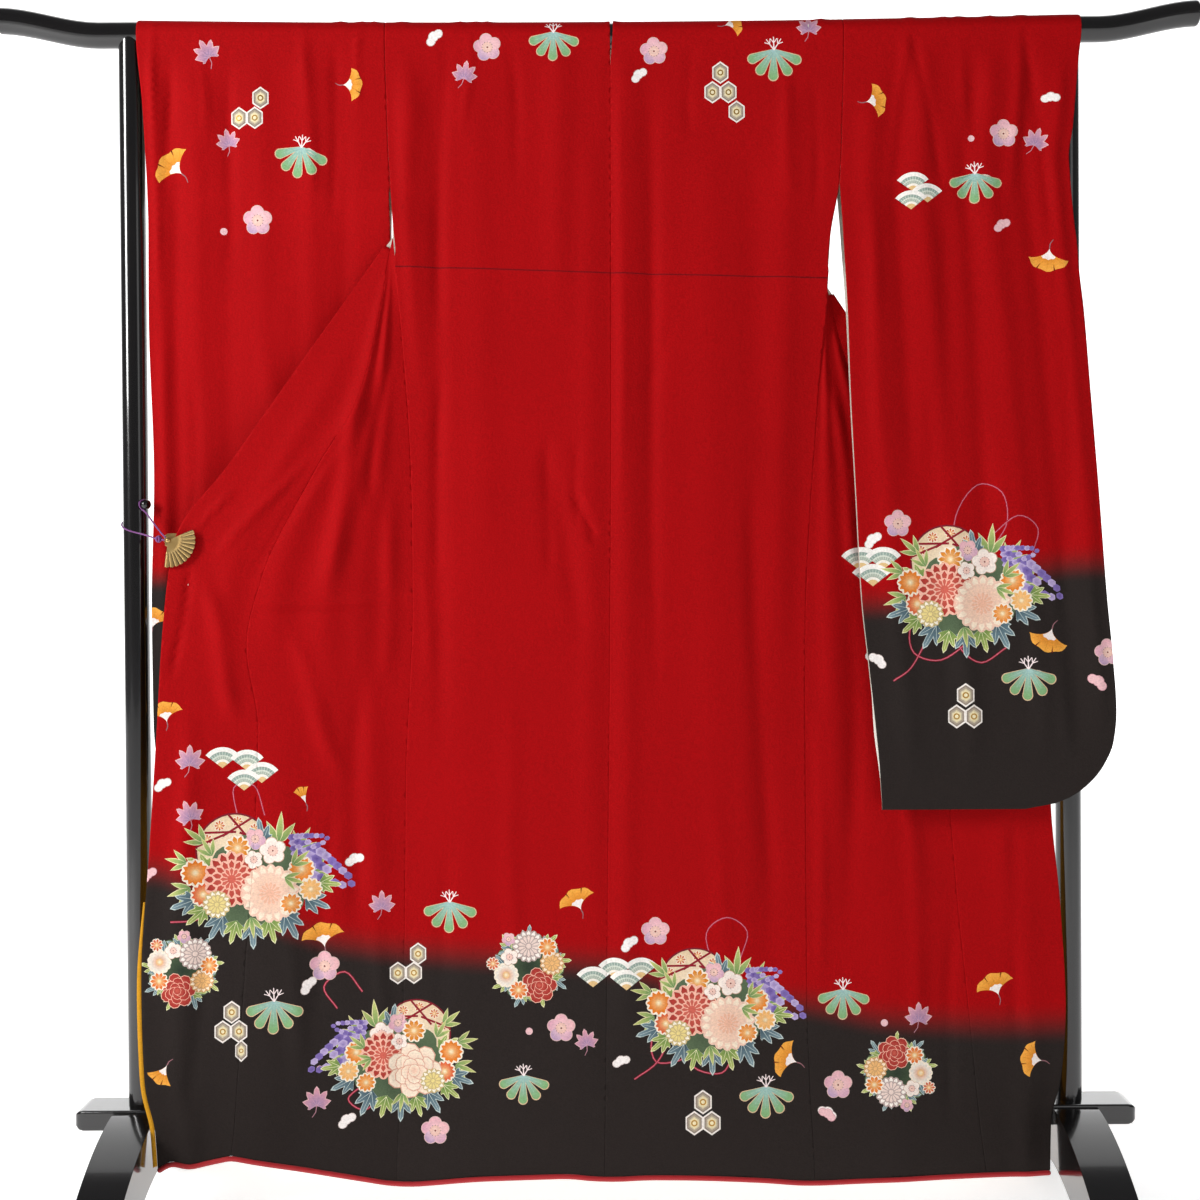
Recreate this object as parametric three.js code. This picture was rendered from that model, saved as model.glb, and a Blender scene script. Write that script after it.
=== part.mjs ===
// Furisode kimono spread over the bar of a black lacquer kimono stand.
// Millimetres, +Z up, the wearer's back faces -Y, X is the wearer's left to right.
import * as THREE from 'three';

// ---------------------------------------------------------------- main sizes
const WALL = 1.4;                 // silk with its lining
const SEAM = 0.3;                 // gap between pieces at a seam
const BAR = { r: 18, axis: 1636, sag: 6, straight: 690, half: 830, rise: 21 };
const POST = { x: 647, r: 17.5 };
const BEAM = { half: 732, y: 35, low: 129, high: 157 };
const FOOT = { x: 647, w: 62, half: 280, pad: 46 };
const R_CLOTH = BAR.r + 0.5 + WALL / 2;   // middle of the wall where it rests on the bar

const lerp = (a, b, t) => a + (b - a) * t;
const clamp = (v, a, b) => Math.max(a, Math.min(b, v));
const smooth = (a, b, v) => { const t = clamp((v - a) / (b - a), 0, 1); return t * t * (3 - 2 * t); };
const bell = (v, c, w) => Math.exp(-(((v - c) / w) ** 2));

// value of column `name` at key `k`, read smoothly from a short table sorted by its first column
function read(table, name, k) {
  const ks = table.rows.map((r) => r[0]), c = table.cols.indexOf(name), n = ks.length;
  const s = ks[1] > ks[0] ? 1 : -1;
  if ((k - ks[0]) * s <= 0) return table.rows[0][c];
  if ((k - ks[n - 1]) * s >= 0) return table.rows[n - 1][c];
  let i = 0; while ((k - ks[i + 1]) * s > 0) i++;
  const v = (j) => table.rows[clamp(j, 0, n - 1)][c], h = ks[i + 1] - ks[i];
  const slope = (j) => {                       // flat at turning points, so nothing overshoots
    if (j <= 0 || j >= n - 1) return 0;
    const a = (v(j) - v(j - 1)) / (ks[j] - ks[j - 1]), b = (v(j + 1) - v(j)) / (ks[j + 1] - ks[j]);
    return a * b <= 0 ? 0 : (2 * a * b) / (a + b);
  };
  const t = (k - ks[i]) / h, m0 = slope(i) * h, m1 = slope(i + 1) * h;
  return v(i) * (1 + 2 * t) * (1 - t) ** 2 + m0 * t * (1 - t) ** 2 + v(i + 1) * t * t * (3 - 2 * t) + m1 * t * t * (t - 1);
}

// height of the bar's axis, which sags a little and turns up beyond the posts
const barZ = (x) => BAR.axis + BAR.sag * Math.min(1, (x / 642) ** 2) + BAR.rise * smooth(BAR.straight, BAR.half, Math.abs(x));

// ---------------------------------------------------------------- mesh helpers
function mesh(name, pos, idx, color, rough, metal = 0) {
  const g = new THREE.BufferGeometry();
  g.setAttribute('position', new THREE.Float32BufferAttribute(pos, 3));
  g.setIndex(idx); g.computeVertexNormals();
  const m = new THREE.Mesh(g, new THREE.MeshStandardMaterial({ color, roughness: rough, metalness: metal }));
  m.name = name;
  return m;
}

const sub = (a, b) => [a[0] - b[0], a[1] - b[1], a[2] - b[2]];
const add = (a, b, k = 1) => [a[0] + b[0] * k, a[1] + b[1] * k, a[2] + b[2] * k];
const cross = (a, b) => [a[1] * b[2] - a[2] * b[1], a[2] * b[0] - a[0] * b[2], a[0] * b[1] - a[1] * b[0]];
const len = (a) => Math.hypot(a[0], a[1], a[2]);
const unit = (a) => { const l = len(a) || 1; return [a[0] / l, a[1] / l, a[2] / l]; };

// normals of a grid of points [row][column]
function normals(G) {
  const n = G.length, m = G[0].length;
  return G.map((row, i) => row.map((_, j) => {
    const a = sub(G[Math.min(i + 1, n - 1)][j], G[Math.max(i - 1, 0)][j]);
    const b = sub(G[i][Math.min(j + 1, m - 1)], G[i][Math.max(j - 1, 0)]);
    return unit(cross(a, b));
  }));
}

// a wall of even thickness about a grid of points
function wall(name, G, N, color, t = WALL, rough = 0.7) {
  const n = G.length, m = G[0].length, pos = [], idx = [];
  const at = (s, i, j) => (s * n + i) * m + j;
  for (const s of [0, 1]) for (let i = 0; i < n; i++) for (let j = 0; j < m; j++) pos.push(...add(G[i][j], N[i][j], s ? -t / 2 : t / 2));
  const quad = (a, b, c, d) => idx.push(a, b, c, a, c, d);
  for (let i = 0; i < n - 1; i++) for (let j = 0; j < m - 1; j++) {
    quad(at(0, i, j), at(0, i + 1, j), at(0, i + 1, j + 1), at(0, i, j + 1));
    quad(at(1, i, j), at(1, i, j + 1), at(1, i + 1, j + 1), at(1, i + 1, j));
  }
  for (let i = 0; i < n - 1; i++) {
    quad(at(0, i, 0), at(1, i, 0), at(1, i + 1, 0), at(0, i + 1, 0));
    quad(at(0, i + 1, m - 1), at(1, i + 1, m - 1), at(1, i, m - 1), at(0, i, m - 1));
  }
  for (let j = 0; j < m - 1; j++) {
    quad(at(0, 0, j + 1), at(1, 0, j + 1), at(1, 0, j), at(0, 0, j));
    quad(at(0, n - 1, j), at(1, n - 1, j), at(1, n - 1, j + 1), at(0, n - 1, j + 1));
  }
  return mesh(name, pos, idx, color, rough);
}

// a solid through closed rings of equal count, capped at both ends
function loft(name, rings, color, rough, metal = 0, capFrom = null) {
  const m = rings[0].length, pos = [], idx = [];
  rings.forEach((r) => r.forEach((p) => pos.push(...p)));
  for (let i = 0; i < rings.length - 1; i++) for (let j = 0; j < m; j++) {
    const k = (j + 1) % m, a = i * m + j, b = i * m + k, c = (i + 1) * m + k, d = (i + 1) * m + j;
    idx.push(a, b, c, a, c, d);
  }
  const cap = (base, flip, pairs) => {
    if (pairs) {                                   // strips between mirrored points of the ring
      for (let j = 0; j < m / 2 - 1; j++) {
        const a = base + j, b = base + j + 1, c = base + m - 1 - j, d = base + (m - 2 - j);
        const q = [[a, b, d], [a, d, c]];
        q.forEach(([x, y, z]) => idx.push(...(flip ? [x, z, y] : [x, y, z])));
      }
    } else for (let j = 1; j < m - 1; j++) idx.push(...(flip ? [base, base + j + 1, base + j] : [base, base + j, base + j + 1]));
  };
  cap(0, true, capFrom); cap((rings.length - 1) * m, false, capFrom);
  return mesh(name, pos, idx, color, rough, metal);
}
const turned = (obj) => {                           // make sure the faces look outward
  const p = obj.geometry.attributes.position, ix = obj.geometry.index; let v = 0;
  for (let i = 0; i < ix.count; i += 3) {
    const [a, b, c] = [0, 1, 2].map((k) => new THREE.Vector3().fromBufferAttribute(p, ix.getX(i + k)));
    v += a.dot(b.cross(c));
  }
  if (v < 0) for (let i = 0; i < ix.count; i += 3) { const t = ix.getX(i + 1); ix.setX(i + 1, ix.getX(i + 2)); ix.setX(i + 2, t); }
  obj.geometry.computeVertexNormals();
  return obj;
};

// ---------------------------------------------------------------- outlines of the panels
// side: where each body length ends at its side, edge: its depth there
const SIDE_L = { cols: ['z', 'x', 'y'], rows: [
  [1640, -294, -19.3], [1500, -291, -21], [1425, -287.6, -22.5], [1364, -283, -28], [1318, -278.5, -28],
  [1240, -272, -27.2], [1085, -262, -27], [960, -259.5, -28], [845, -259.5, -30], [740, -264, -31.5],
  [620, -270, -33.5], [480, -272, -35.5], [330, -275, -37.5], [190, -280, -39.5], [62, -286, -40.5]] };
const SIDE_R = { cols: ['z', 'x', 'y'], rows: [
  [1640, 337, -19.3], [1500, 333.5, -21], [1432, 330, -22.5], [1356, 317, -23.5], [1298, 312, -23.5],
  [1250, 308.5, -21.5], [1188, 302, -21], [1090, 294.5, -21.5], [970, 285.5, -22.5], [830, 278.5, -24.5], [690, 277, -27.5],
  [560, 277, -30.5], [430, 277, -33.5], [300, 277, -36.5], [190, 280, -39], [58, 286, -40.5]] };
const CENTRE = { cols: ['z', 'x', 'gap'], rows: [
  [1656, 18, 2.4], [1620, 17, 1.4], [1590, 16, 0.15], [1269, 15, 0.15], [857, 11, 0.15], [444, 5, 0.15], [200, 1, 0.15], [60, -1, 0.15]] };
const HEM = { cols: ['x', 'z'], rows: [
  [-286, 58], [-172, 65], [-101, 67], [-53, 68], [0, 63], [60, 65.5], [108, 65], [212, 61], [286, 56]] };
const BACK = { cols: ['z', 'y'], rows: [
  [1640, -19.3], [1500, -22], [1300, -26], [900, -33.5], [500, -38.5], [160, -40.5], [60, -41]] };

// soft folds of the back: where each starts, runs and ends; forward is toward -Y
const BACK_FOLDS = { cols: ['xTop', 'xLow', 'zTop', 'zLow', 'width', 'forward'], rows: [
  [-270, -262, 1590, 1200, 16, 3.2], [-226, -222, 1600, 700, 13, -2.6], [-170, -160, 1560, 950, 22, 1.8],
  [-54, -58, 1650, 1300, 20, 3.0], [-72, -30, 1060, 820, 14, -2.4], [-14, -22, 1500, 500, 16, 2.0],
  [40, 30, 1620, 300, 16, 3.0], [72, 66, 1560, 900, 14, -2.2], [150, 150, 1500, 650, 26, 1.8],
  [210, 225, 1480, 300, 22, -2.6], [262, 240, 1560, 800, 18, 2.4]] };
const foldsAt = (T, x, z) => T.rows.reduce((s, [xt, xl, zt, zl, w, f]) =>
  s - f * bell(x, lerp(xt, xl, clamp((zt - z) / (zt - zl), 0, 1)), w) * smooth(zl - 90, zl + 60, z) * smooth(zt + 20, zt - 70, z), 0);

// small gathers where the cloth goes over the bar
const GATHERS = [-356, -327, -310, -270, -191, -171, -154, 20, 307, 430, 476, 497, 540, 583];
const gather = (x) => GATHERS.reduce((s, g) => s + 1.5 * bell(x, g, 7), 0);

const side = (hand, z) => [read(hand < 0 ? SIDE_L : SIDE_R, 'x', z), read(hand < 0 ? SIDE_L : SIDE_R, 'y', z)];
function backY(hand, x, z) {
  const [sx, sy] = side(hand, z), base = read(BACK, 'y', z);
  const w = smooth(90, 0, Math.abs(x - sx));
  const low = smooth(150, 230, z), fade = smooth(0, 24, Math.abs(x - sx)) * smooth(1640, 1590, z);
  const centre = 1.2 * bell(x, read(CENTRE, 'x', z), 9) * fade * low;     // the seam draws in
  return lerp(base, sy, w) + (foldsAt(BACK_FOLDS, x, z) * low + centre) * fade;
}

// ---------------------------------------------------------------- front panels
// a row per section: s = side seam, k = overlap seam, o = front edge
const FRONT_L = { cols: ['row', 'sx', 'sy', 'sz', 'kx', 'ky', 'kz', 'ox', 'oy', 'oz'], rows: [
  [0, -294, 19.3, 1640, -90, 19.3, 1637, -90, 19.3, 1637],
  [1, -291, 19, 1520, -159, 12, 1542, -159, 12, 1542],
  [2, -287.6, 15, 1425, -213, 4, 1465, -213, 4, 1465],
  [3, -284.6, -1, 1388, -240, -2, 1426, -240, -2, 1426],
  [4, -284.4, -22.9, 1364.7, -255, -4.1, 1404, -255, -4.1, 1404],
  [5, -281.4, -25.4, 1317.5, -284, -15.3, 1361, -285, -14.8, 1363],
  [6, -272.6, -27, 1215, -301, -28, 1262, -341, -24, 1283],
  [7, -262.6, -27, 1088, -331, -33, 1138, -411, -34, 1184],
  [8, -260.1, -28, 962, -391, -40, 1037, -505, -42, 1051],
  [9, -260.1, -30, 846, -464, -45, 893, -583, -50, 940],
  [10, -264.6, -31.5, 740, -486, -46, 794, -599, -56, 815],
  [11, -270.6, -33.5, 620, -471, -48, 680, -607, -61, 680],
  [12, -272.6, -35.5, 480, -476, -54, 530, -617, -67, 520],
  [13, -275.6, -37.5, 330, -489, -61, 360, -627, -75, 350],
  [14, -280.6, -39.5, 190, -499, -71, 205, -622, -83, 210],
  [15, -283.6, -40, 125, -503, -75, 145, -608, -87, 145],
  [16, -286.6, -40.5, 58, -507, -78, 108, -604, -90, 91]] };
const FRONT_R = { cols: FRONT_L.cols, rows: [
  [0, 337, 19.3, 1640, 90, 19.3, 1637, 90, 19.3, 1637],
  [1, 334, 19, 1520, 158, 14, 1535, 158, 14, 1535],
  [2, 330, 15, 1432, 212, 9, 1451, 212, 9, 1451],
  [3, 323, 8, 1386, 242, 6, 1405, 242, 6, 1405],
  [4, 318, -4, 1342, 263, 3, 1371, 263, 3, 1371],
  [5, 313.6, -16, 1302, 280, 1, 1346, 280, 1, 1346],
  [6, 310, -21.5, 1258, 311, -6, 1293, 312, -5, 1295],
  [7, 303.2, -21, 1190, 330, -11, 1215, 366, -10, 1211],
  [8, 295.2, -21.5, 1090, 364, -9, 1110, 437, -14, 1102],
  [9, 286.2, -22.5, 970, 404, -11, 980, 518, -19, 976],
  [10, 279.2, -24.5, 830, 442, -15, 830, 612, -24, 830],
  [11, 277.6, -27.5, 690, 465, -19, 690, 613, -25, 690],
  [12, 277.6, -30.5, 560, 478, -23, 560, 617, -26, 565],
  [13, 277.6, -33.5, 430, 488, -27, 430, 629, -28, 430],
  [14, 277.6, -36.5, 300, 500, -33, 300, 635, -32, 300],
  [15, 280.6, -39, 190, 509, -38.5, 195, 627, -38.5, 200],
  [16, 282.6, -40, 125, 515, -41, 130, 612, -41.5, 135],
  [17, 286.6, -40.5, 56, 523, -43, 67, 610, -44, 70]] };
// pleats that run down from the pinch: u is the share of the way from side seam to front edge
const PLEATS_L = { cols: ['uTop', 'uLow', 'from', 'to', 'width', 'forward'], rows: [
  [0.42, 0.30, 6, 10.2, 0.07, 5.5], [0.62, 0.52, 6, 9.5, 0.06, 4.5], [0.28, 0.12, 7, 12, 0.06, 3.5],
  [0.80, 0.70, 7, 10, 0.06, 3.0], [0.40, 0.62, 9.2, 10, 0.2, 3.0], [0.5, 0.5, 11, 16, 0.1, 4.0], [0.86, 0.82, 11.5, 16, 0.06, 4.5]] };
const PLEATS_R = { cols: PLEATS_L.cols, rows: [
  [0.14, 0.12, 7, 12, 0.06, 3.5], [0.5, 0.42, 7, 11, 0.08, 3.5], [0.75, 0.66, 8, 12, 0.08, 3.0],
  [0.34, 0.3, 11, 17, 0.09, 3.0], [0.82, 0.86, 11.5, 17, 0.07, 3.5]] };

function frontAt(hand, row, u) {                  // u 0..0.6 body length, 0.6..1 overlap
  const T = hand < 0 ? FRONT_L : FRONT_R, at = (n) => read(T, n, row);
  const s = [at('sx'), at('sy'), at('sz')], k = [at('kx'), at('ky'), at('kz')], o = [at('ox'), at('oy'), at('oz')];
  const [sx, sy] = side(hand, s[2]);                // sewn to the sleeve above, to the back below
  if (row < 2) s[0] = lerp(sx, s[0], smooth(1.9, 2, row));
  if (row > 5) { const t = smooth(5, 6, row); s[0] = lerp(s[0], sx + hand * lerp(2.2, 0.7, smooth(6, 8, row)), t); s[1] = lerp(s[1], sy + lerp(2.2, 0.3, smooth(6, 8, row)), t); }
  const p = u <= 0.6 ? add(s, sub(k, s), u / 0.6) : add(k, sub(o, k), (u - 0.6) / 0.4);
  // slack of the narrow throat between neck and side seam
  p[1] -= (hand < 0 ? 2.1 : 8) * bell(row, hand < 0 ? 4.1 : 5.1, hand < 0 ? 0.6 : 0.8) * Math.sin(Math.PI * Math.min(1, u / 0.6));
  if (hand < 0) {
    p[0] += 7.7 * bell(row, 4.2, 0.4) * Math.sin(Math.PI * Math.min(1, u / 0.6));
    p[1] -= 1 * bell(row, 5.3, 0.4) * Math.sin(Math.PI * Math.min(1, u / 0.6));
  }
  const P = hand < 0 ? PLEATS_L : PLEATS_R;
  for (const [ut, ul, a, b, w, f] of P.rows) {
    const c = lerp(ut, ul, clamp((row - a) / (b - a), 0, 1));
    p[1] -= f * bell(u, c, w) * smooth(a - 0.7, a + 0.6, row) * smooth(b + 0.8, b - 0.4, row) * smooth(0, 0.1, u);
  }
  if (hand < 0) p[2] += 9 * bell(u, 0.93, 0.07) * smooth(14.5, 16, row);      // the corner of the hem dips
  return p;
}

// ---------------------------------------------------------------- body lengths and overlaps
const COLS = 10;
const TOP_LEVELS = [1318, 1364, 1400, 1432, 1470, 1520, 1575, 1612];   // shared by body and sleeves
const TURN = [4, 25, 47, 69, 90, 111, 133, 155, 176];              // degrees round the bar
function bodyAndOverlap(hand) {
  const n = hand < 0 ? 'left' : 'right', G = [];
  const hem = 60, levels = [];
  for (let z = hem; z < 1280; z += 84) levels.push(z);
  levels.push(...TOP_LEVELS);
  const uEnd = (z) => read(CENTRE, 'x', z) + hand * read(CENTRE, 'gap', z);
  const zAt = (x, z) => z + (read(HEM, 'z', x) - hem) * smooth(400, hem, z);   // the lower edge follows the hem line
  for (const z of levels) {
    const [sx] = side(hand, z), c = uEnd(z), row = [];
    for (let j = 0; j <= COLS; j++) {
      const x = lerp(sx, c, j / COLS);
      row.push([x, backY(hand, x, z), zAt(x, z)]);
    }
    G.push(row);
  }
  // over the bar, the neck opening turns back toward the rear
  for (const deg of TURN) {
    const a = deg * Math.PI / 180, row = [];
    const s = hand < 0 ? -294 : 337, cTop = lerp(uEnd(1640), 90 * hand, smooth(80, 176, deg));
    for (let j = 0; j <= COLS; j++) {
      const x = lerp(s, cTop, j / COLS), r = R_CLOTH + gather(x) * Math.sin(a) ** 2;
      row.push([x, -r * Math.cos(a), barZ(x) + r * Math.sin(a)]);
    }
    G.push(row);
  }
  // down the front panel to its own hem
  const last = hand < 0 ? 16 : 17, front = [], over = [];
  const rows = [0.35, 1, 1.6, 2, 2.35, 2.65, 2.85, 3, 3.2, 3.4, 3.6, 3.8, 4, 4.25, 4.5, 4.75, 5, 5.25, 5.6, 6, 6.25, 6.6, 7, 7.5, 8, 8.5, 9, 9.4, 9.8, 10.3, 11, 11.7, 12.4, 13.2, 14, 14.6, 15.2];
  while (rows[rows.length - 1] < last - 0.5) rows.push(rows[rows.length - 1] + 0.6);
  rows.push(last);
  for (const r of rows) front.push([...Array(COLS + 1)].map((_, j) => frontAt(hand, r, 0.6 * j / COLS)));
  // the side columns stay clear of the seam they are sewn at
  const body = G.concat(front), N = normals(body);
  for (let i = G.length; i < body.length; i++) {   // draw the far edge in by the seam gap
    const e = body[i], m = e.length - 1, d = unit(sub(e[m - 1], e[m]));
    e[m] = add(e[m], d, SEAM);
  }
  const oRows = rows.filter((r) => r >= (hand < 0 ? 5.2 : 6.2));
  for (const r of oRows) over.push([0.6, 0.7, 0.8, 0.9, 1].map((u) => frontAt(hand, r, u)));
  const NO = normals(over);
  // both pieces share the wall's direction at their common seam
  over.forEach((row, i) => { const k = body.length - oRows.length + i; const nn = unit(add(N[k][COLS], NO[i][0])); N[k][COLS] = nn; NO[i][0] = nn; });
  return [wall('body_' + n, body, N, 0xb01218), wall('okumi_' + n, over, NO, 0xb8141c)];
}

// ---------------------------------------------------------------- sleeves
const SLEEVE_L = { cols: ['z', 'xin', 'xout', 'xback', 'fin', 'fout', 'rin', 'rout'], rows: [
  [1640, -294.3, -636, -634, -19.3, -19.3, 19.3, 19.3], [1543, -291.9, -628, -627, -20.5, -20, 19, 19],
  [1480, -290.6, -625, -624, -21.5, -19, 18, 17], [1425, -289.4, -623.5, -623.5, -22.5, -15, 15, 6],
  [1395, -289.5, -623.5, -623.5, -15, -11.5, 11, -3], [1364, -289.6, -624, -624, -9, -8.6, 8, -6.4], [1250, -292, -625, -625, -8.5, -7, 6, -4.8],
  [1036, -294, -620, -620, -8, -6, 6, -3.8], [843, -296, -625, -625, -7.5, -6, 6, -3.8], [690, -298, -624, -624, -7, -6, 5, -3.8],
  [640, -299, -620, -620, -6.5, -6, 4, -3.8], [600, -300, -606, -606, -6, -6, 0, -3.8], [575, -300, -576, -576, -6, -6, -3, -3.8], [566, -300, -545, -545, -6, -6, -3.8, -3.8]] };
const SLEEVE_R = { cols: SLEEVE_L.cols, rows: [
  [1640, 337.3, 664, 655, -19.3, -19.3, 19.3, 19.3], [1600, 336.2, 660, 633, -19.6, -20, 19.1, 19.4], [1560, 335.2, 656, 620, -20.2, -21.5, 18.8, 19],
  [1500, 333.8, 650, 616, -21, -24, 18, 15], [1461, 332, 644, 616, -22, -27, 16.6, 8], [1432, 330.4, 645, 617, -22.5, -30, 15, 0],
  [1400, 331.5, 647, 621, -26, -32, 8, -14], [1372, 333, 649, 627, -29, -34, 3, -25], [1345, 334, 652, 650, -32, -36, -3, -33.6], [1300, 336, 655, 655, -36, -39, -12, -36.6],
  [1250, 338, 660, 660, -41, -42, -20, -39.6], [1150, 340.5, 667, 667, -46, -46, -32, -43.6], [1000, 347, 678, 678, -50, -50, -39, -47.6], [857, 354, 688, 688, -52, -52, -42, -49.6],
  [769, 363, 696, 696, -53, -53, -43.5, -50.6], [700, 370, 700, 700, -53.5, -53.5, -44.5, -51.1], [660, 374, 696, 696, -54, -54, -46, -51.6], [625, 377, 681, 681, -54, -54, -48, -51.6],
  [592, 379, 650, 650, -54, -54, -50, -51.6], [574, 380, 612, 612, -54, -54, -51.5, -51.6], [568, 380, 575, 575, -54, -54, -51.6, -51.6]] };
// long folds of the sleeves, by share of the width from the inner edge
const SLEEVE_FOLDS_L = { cols: ['uTop', 'uLow', 'zTop', 'zLow', 'width', 'forward'], rows: [
  [0.965, 0.96, 1620, 700, 0.035, 2.6], [0.88, 0.9, 1600, 700, 0.03, -2.2], [0.79, 0.8, 1620, 800, 0.04, 2.0], [0.66, 0.68, 1600, 900, 0.05, -2.2],
  [0.52, 0.55, 1620, 700, 0.05, 1.8], [0.34, 0.3, 1630, 800, 0.05, 2.4], [0.18, 0.2, 1620, 1100, 0.04, -2.0], [0.44, 0.5, 1300, 620, 0.07, 2.0]] };
const SLEEVE_FOLDS_R = { cols: SLEEVE_FOLDS_L.cols, rows: [
  [0.93, 0.94, 1600, 700, 0.04, 4.0], [0.80, 0.84, 1600, 650, 0.04, -3.0], [0.62, 0.70, 1620, 640, 0.05, 3.4], [0.56, 0.52, 1600, 900, 0.04, -2.8],
  [0.34, 0.40, 1620, 620, 0.05, 3.6], [0.24, 0.24, 1620, 1000, 0.04, -3.0], [0.12, 0.14, 1560, 620, 0.05, 3.4], [0.45, 0.30, 1400, 700, 0.05, -2.4]] };

function sleeveAt(hand, face, z, u) {
  const T = hand < 0 ? SLEEVE_L : SLEEVE_R, F = hand < 0 ? SLEEVE_FOLDS_L : SLEEVE_FOLDS_R;
  const sewn = smooth(1424, 1426, z), [sx, sy] = side(hand, z);
  const xi = lerp(read(T, 'xin', z), sx + hand * SEAM, sewn), xo = read(T, face ? 'xback' : 'xout', z);
  const a = face ? read(T, 'rin', z) : lerp(read(T, 'fin', z), sy, sewn), b = read(T, face ? 'rout' : 'fout', z);
  const x = lerp(xi, xo, u);
  let y = lerp(a, b, face ? smooth(0.45, 1, u) : u);
  let f = 0;
  for (const [ut, ul, zt, zl, w, q] of F.rows) {
    const c = lerp(ut, ul, clamp((zt - z) / (zt - zl), 0, 1));
    f += q * bell(u, c, w) * smooth(zt + 15, zt - 60, z) * smooth(zl - 60, zl + 100, z);
  }
  f *= smooth(0, 0.07, u) * smooth(1, 0.93, u);
  if (!face) y -= hand < 0 ? f : f * 1.1; else y -= f * (hand < 0 ? 0.5 : 0.55) * smooth(1640, 1500, z);
  return [x, y, z];
}
function sleeve(hand) {
  const T = hand < 0 ? SLEEVE_L : SLEEVE_R, low = T.rows[T.rows.length - 1][0], G = [];
  const levels = [low, low + 9, low + 30, low + 60, low + 95];
  for (let z = low + 180; z < 1240; z += 95) levels.push(z);
  levels.push(1250, ...TOP_LEVELS);
  const cols = [...Array(COLS + 2)].map((_, j) => j / (COLS + 1));
  for (const z of levels) G.push(cols.map((u) => sleeveAt(hand, 0, z, u)));
  for (const deg of TURN) {
    const a = deg * Math.PI / 180;
    G.push(cols.map((u) => {
      const x = lerp(hand < 0 ? -294.3 : 337.3, lerp(hand < 0 ? -636 : 664, hand < 0 ? -634 : 655, smooth(60, 176, deg)), u);
      const r = R_CLOTH + gather(x) * Math.sin(a) ** 2;
      return [x, -r * Math.cos(a), barZ(x) + r * Math.sin(a)];
    }));
  }
  for (const z of levels.slice().reverse()) G.push(cols.map((u) => sleeveAt(hand, 1, z, u)));
  return wall(hand < 0 ? 'sleeve_left' : 'sleeve_right', G, normals(G), 0xbe161e);
}

// ---------------------------------------------------------------- collar
// depth of the front panel behind a point, from the panel's own surface
function panelY(hand, x, z, from = 4.6, to = 10) {
  let best = null;
  for (let r = from; r <= to; r += 0.1) for (let u = 0; u <= 1.0001; u += 0.05) {
    const p = frontAt(hand, r, u), d = Math.hypot(p[0] - x, p[2] - z);
    if (d < 16 && (best === null || p[1] > best)) best = p[1];
  }
  return best;
}
const LINE_L = { n: [-90, 1637], c: [-583, 940] }, LINE_R = { n: [90, 1637], c: [612, 830] };
// width of the collar and its distance behind the panel along the front edge
const COLLAR = { cols: ['share', 'width', 'behind'], rows: [
  [0, 52, 0], [0.24, 52, 0], [0.32, 40, 1], [0.39, 26, 2.6], [0.5, 34, 2.6], [0.62, 48, 2.6], [0.8, 50, 2.6], [0.97, 50, 2.6]] };
function collar() {
  const G = [];
  const branch = (hand) => {
    const T = hand < 0 ? FRONT_L : FRONT_R, rows = [];
    const list = [0.5, 1, 1.5, 2, 2.4, 2.8, 3.2, 3.6, 4, 4.4, 4.8, 5.2, 5.6, 6, 6.5, 7, 7.5, 8, 8.5, 9, 9.5, 9.8].map((r) => (hand > 0 ? r + smooth(4, 6, r) * 0.0 + (r > 3 ? Math.min(1, (r - 3) / 3) : 0) * (r > 9 ? 10 - r : 1) : r)).filter((r) => r < 9.9 + (hand > 0 ? 0 : 0));
    const ln = hand < 0 ? LINE_L : LINE_R, d = unit([ln.c[0] - ln.n[0], 0, ln.c[1] - ln.n[1]]);
    const w = [-hand * Math.abs(d[2]), 0, -Math.abs(d[0])];      // inward and down
    const total = Math.hypot(ln.c[0] - ln.n[0], ln.c[1] - ln.n[1]);
    for (const r of list) {
      const o = [read(T, 'ox', r), read(T, 'oy', r), read(T, 'oz', r)];
      const share = Math.hypot(o[0] - ln.n[0], o[2] - ln.n[1]) / total;
      const wd = read(COLLAR, 'width', share), back = read(COLLAR, 'behind', share);
      rows.push([0, 0.5, 1].map((t) => {
        const p = add(o, w, SEAM + 0.3 + 1.2 * bell(share, 0.4, 0.14) + wd * t);
        if (back > 0) { const q = panelY(hand, p[0], p[2]); if (q !== null) p[1] = lerp(p[1], Math.max(p[1], q) + back, smooth(0, 1, back)); }
        return p;
      }));
    }
    return rows;
  };
  const L = branch(-1), R = branch(1);
  // round the neck: it hangs behind the bar between the two front edges
  const neck = [];
  for (const x of [-70, -42, -14, 14, 42, 70]) {
    const s = smooth(90, 30, Math.abs(x));
    neck.push([0, 0.5, 1].map((t) => [x, 19.6 + 1.2 * s, lerp(1634, 1582, t) + 0 * s]));
  }
  G.push(...L.reverse(), ...neck, ...R);
  return wall('collar', G, normals(G), 0xb8141c);
}

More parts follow.
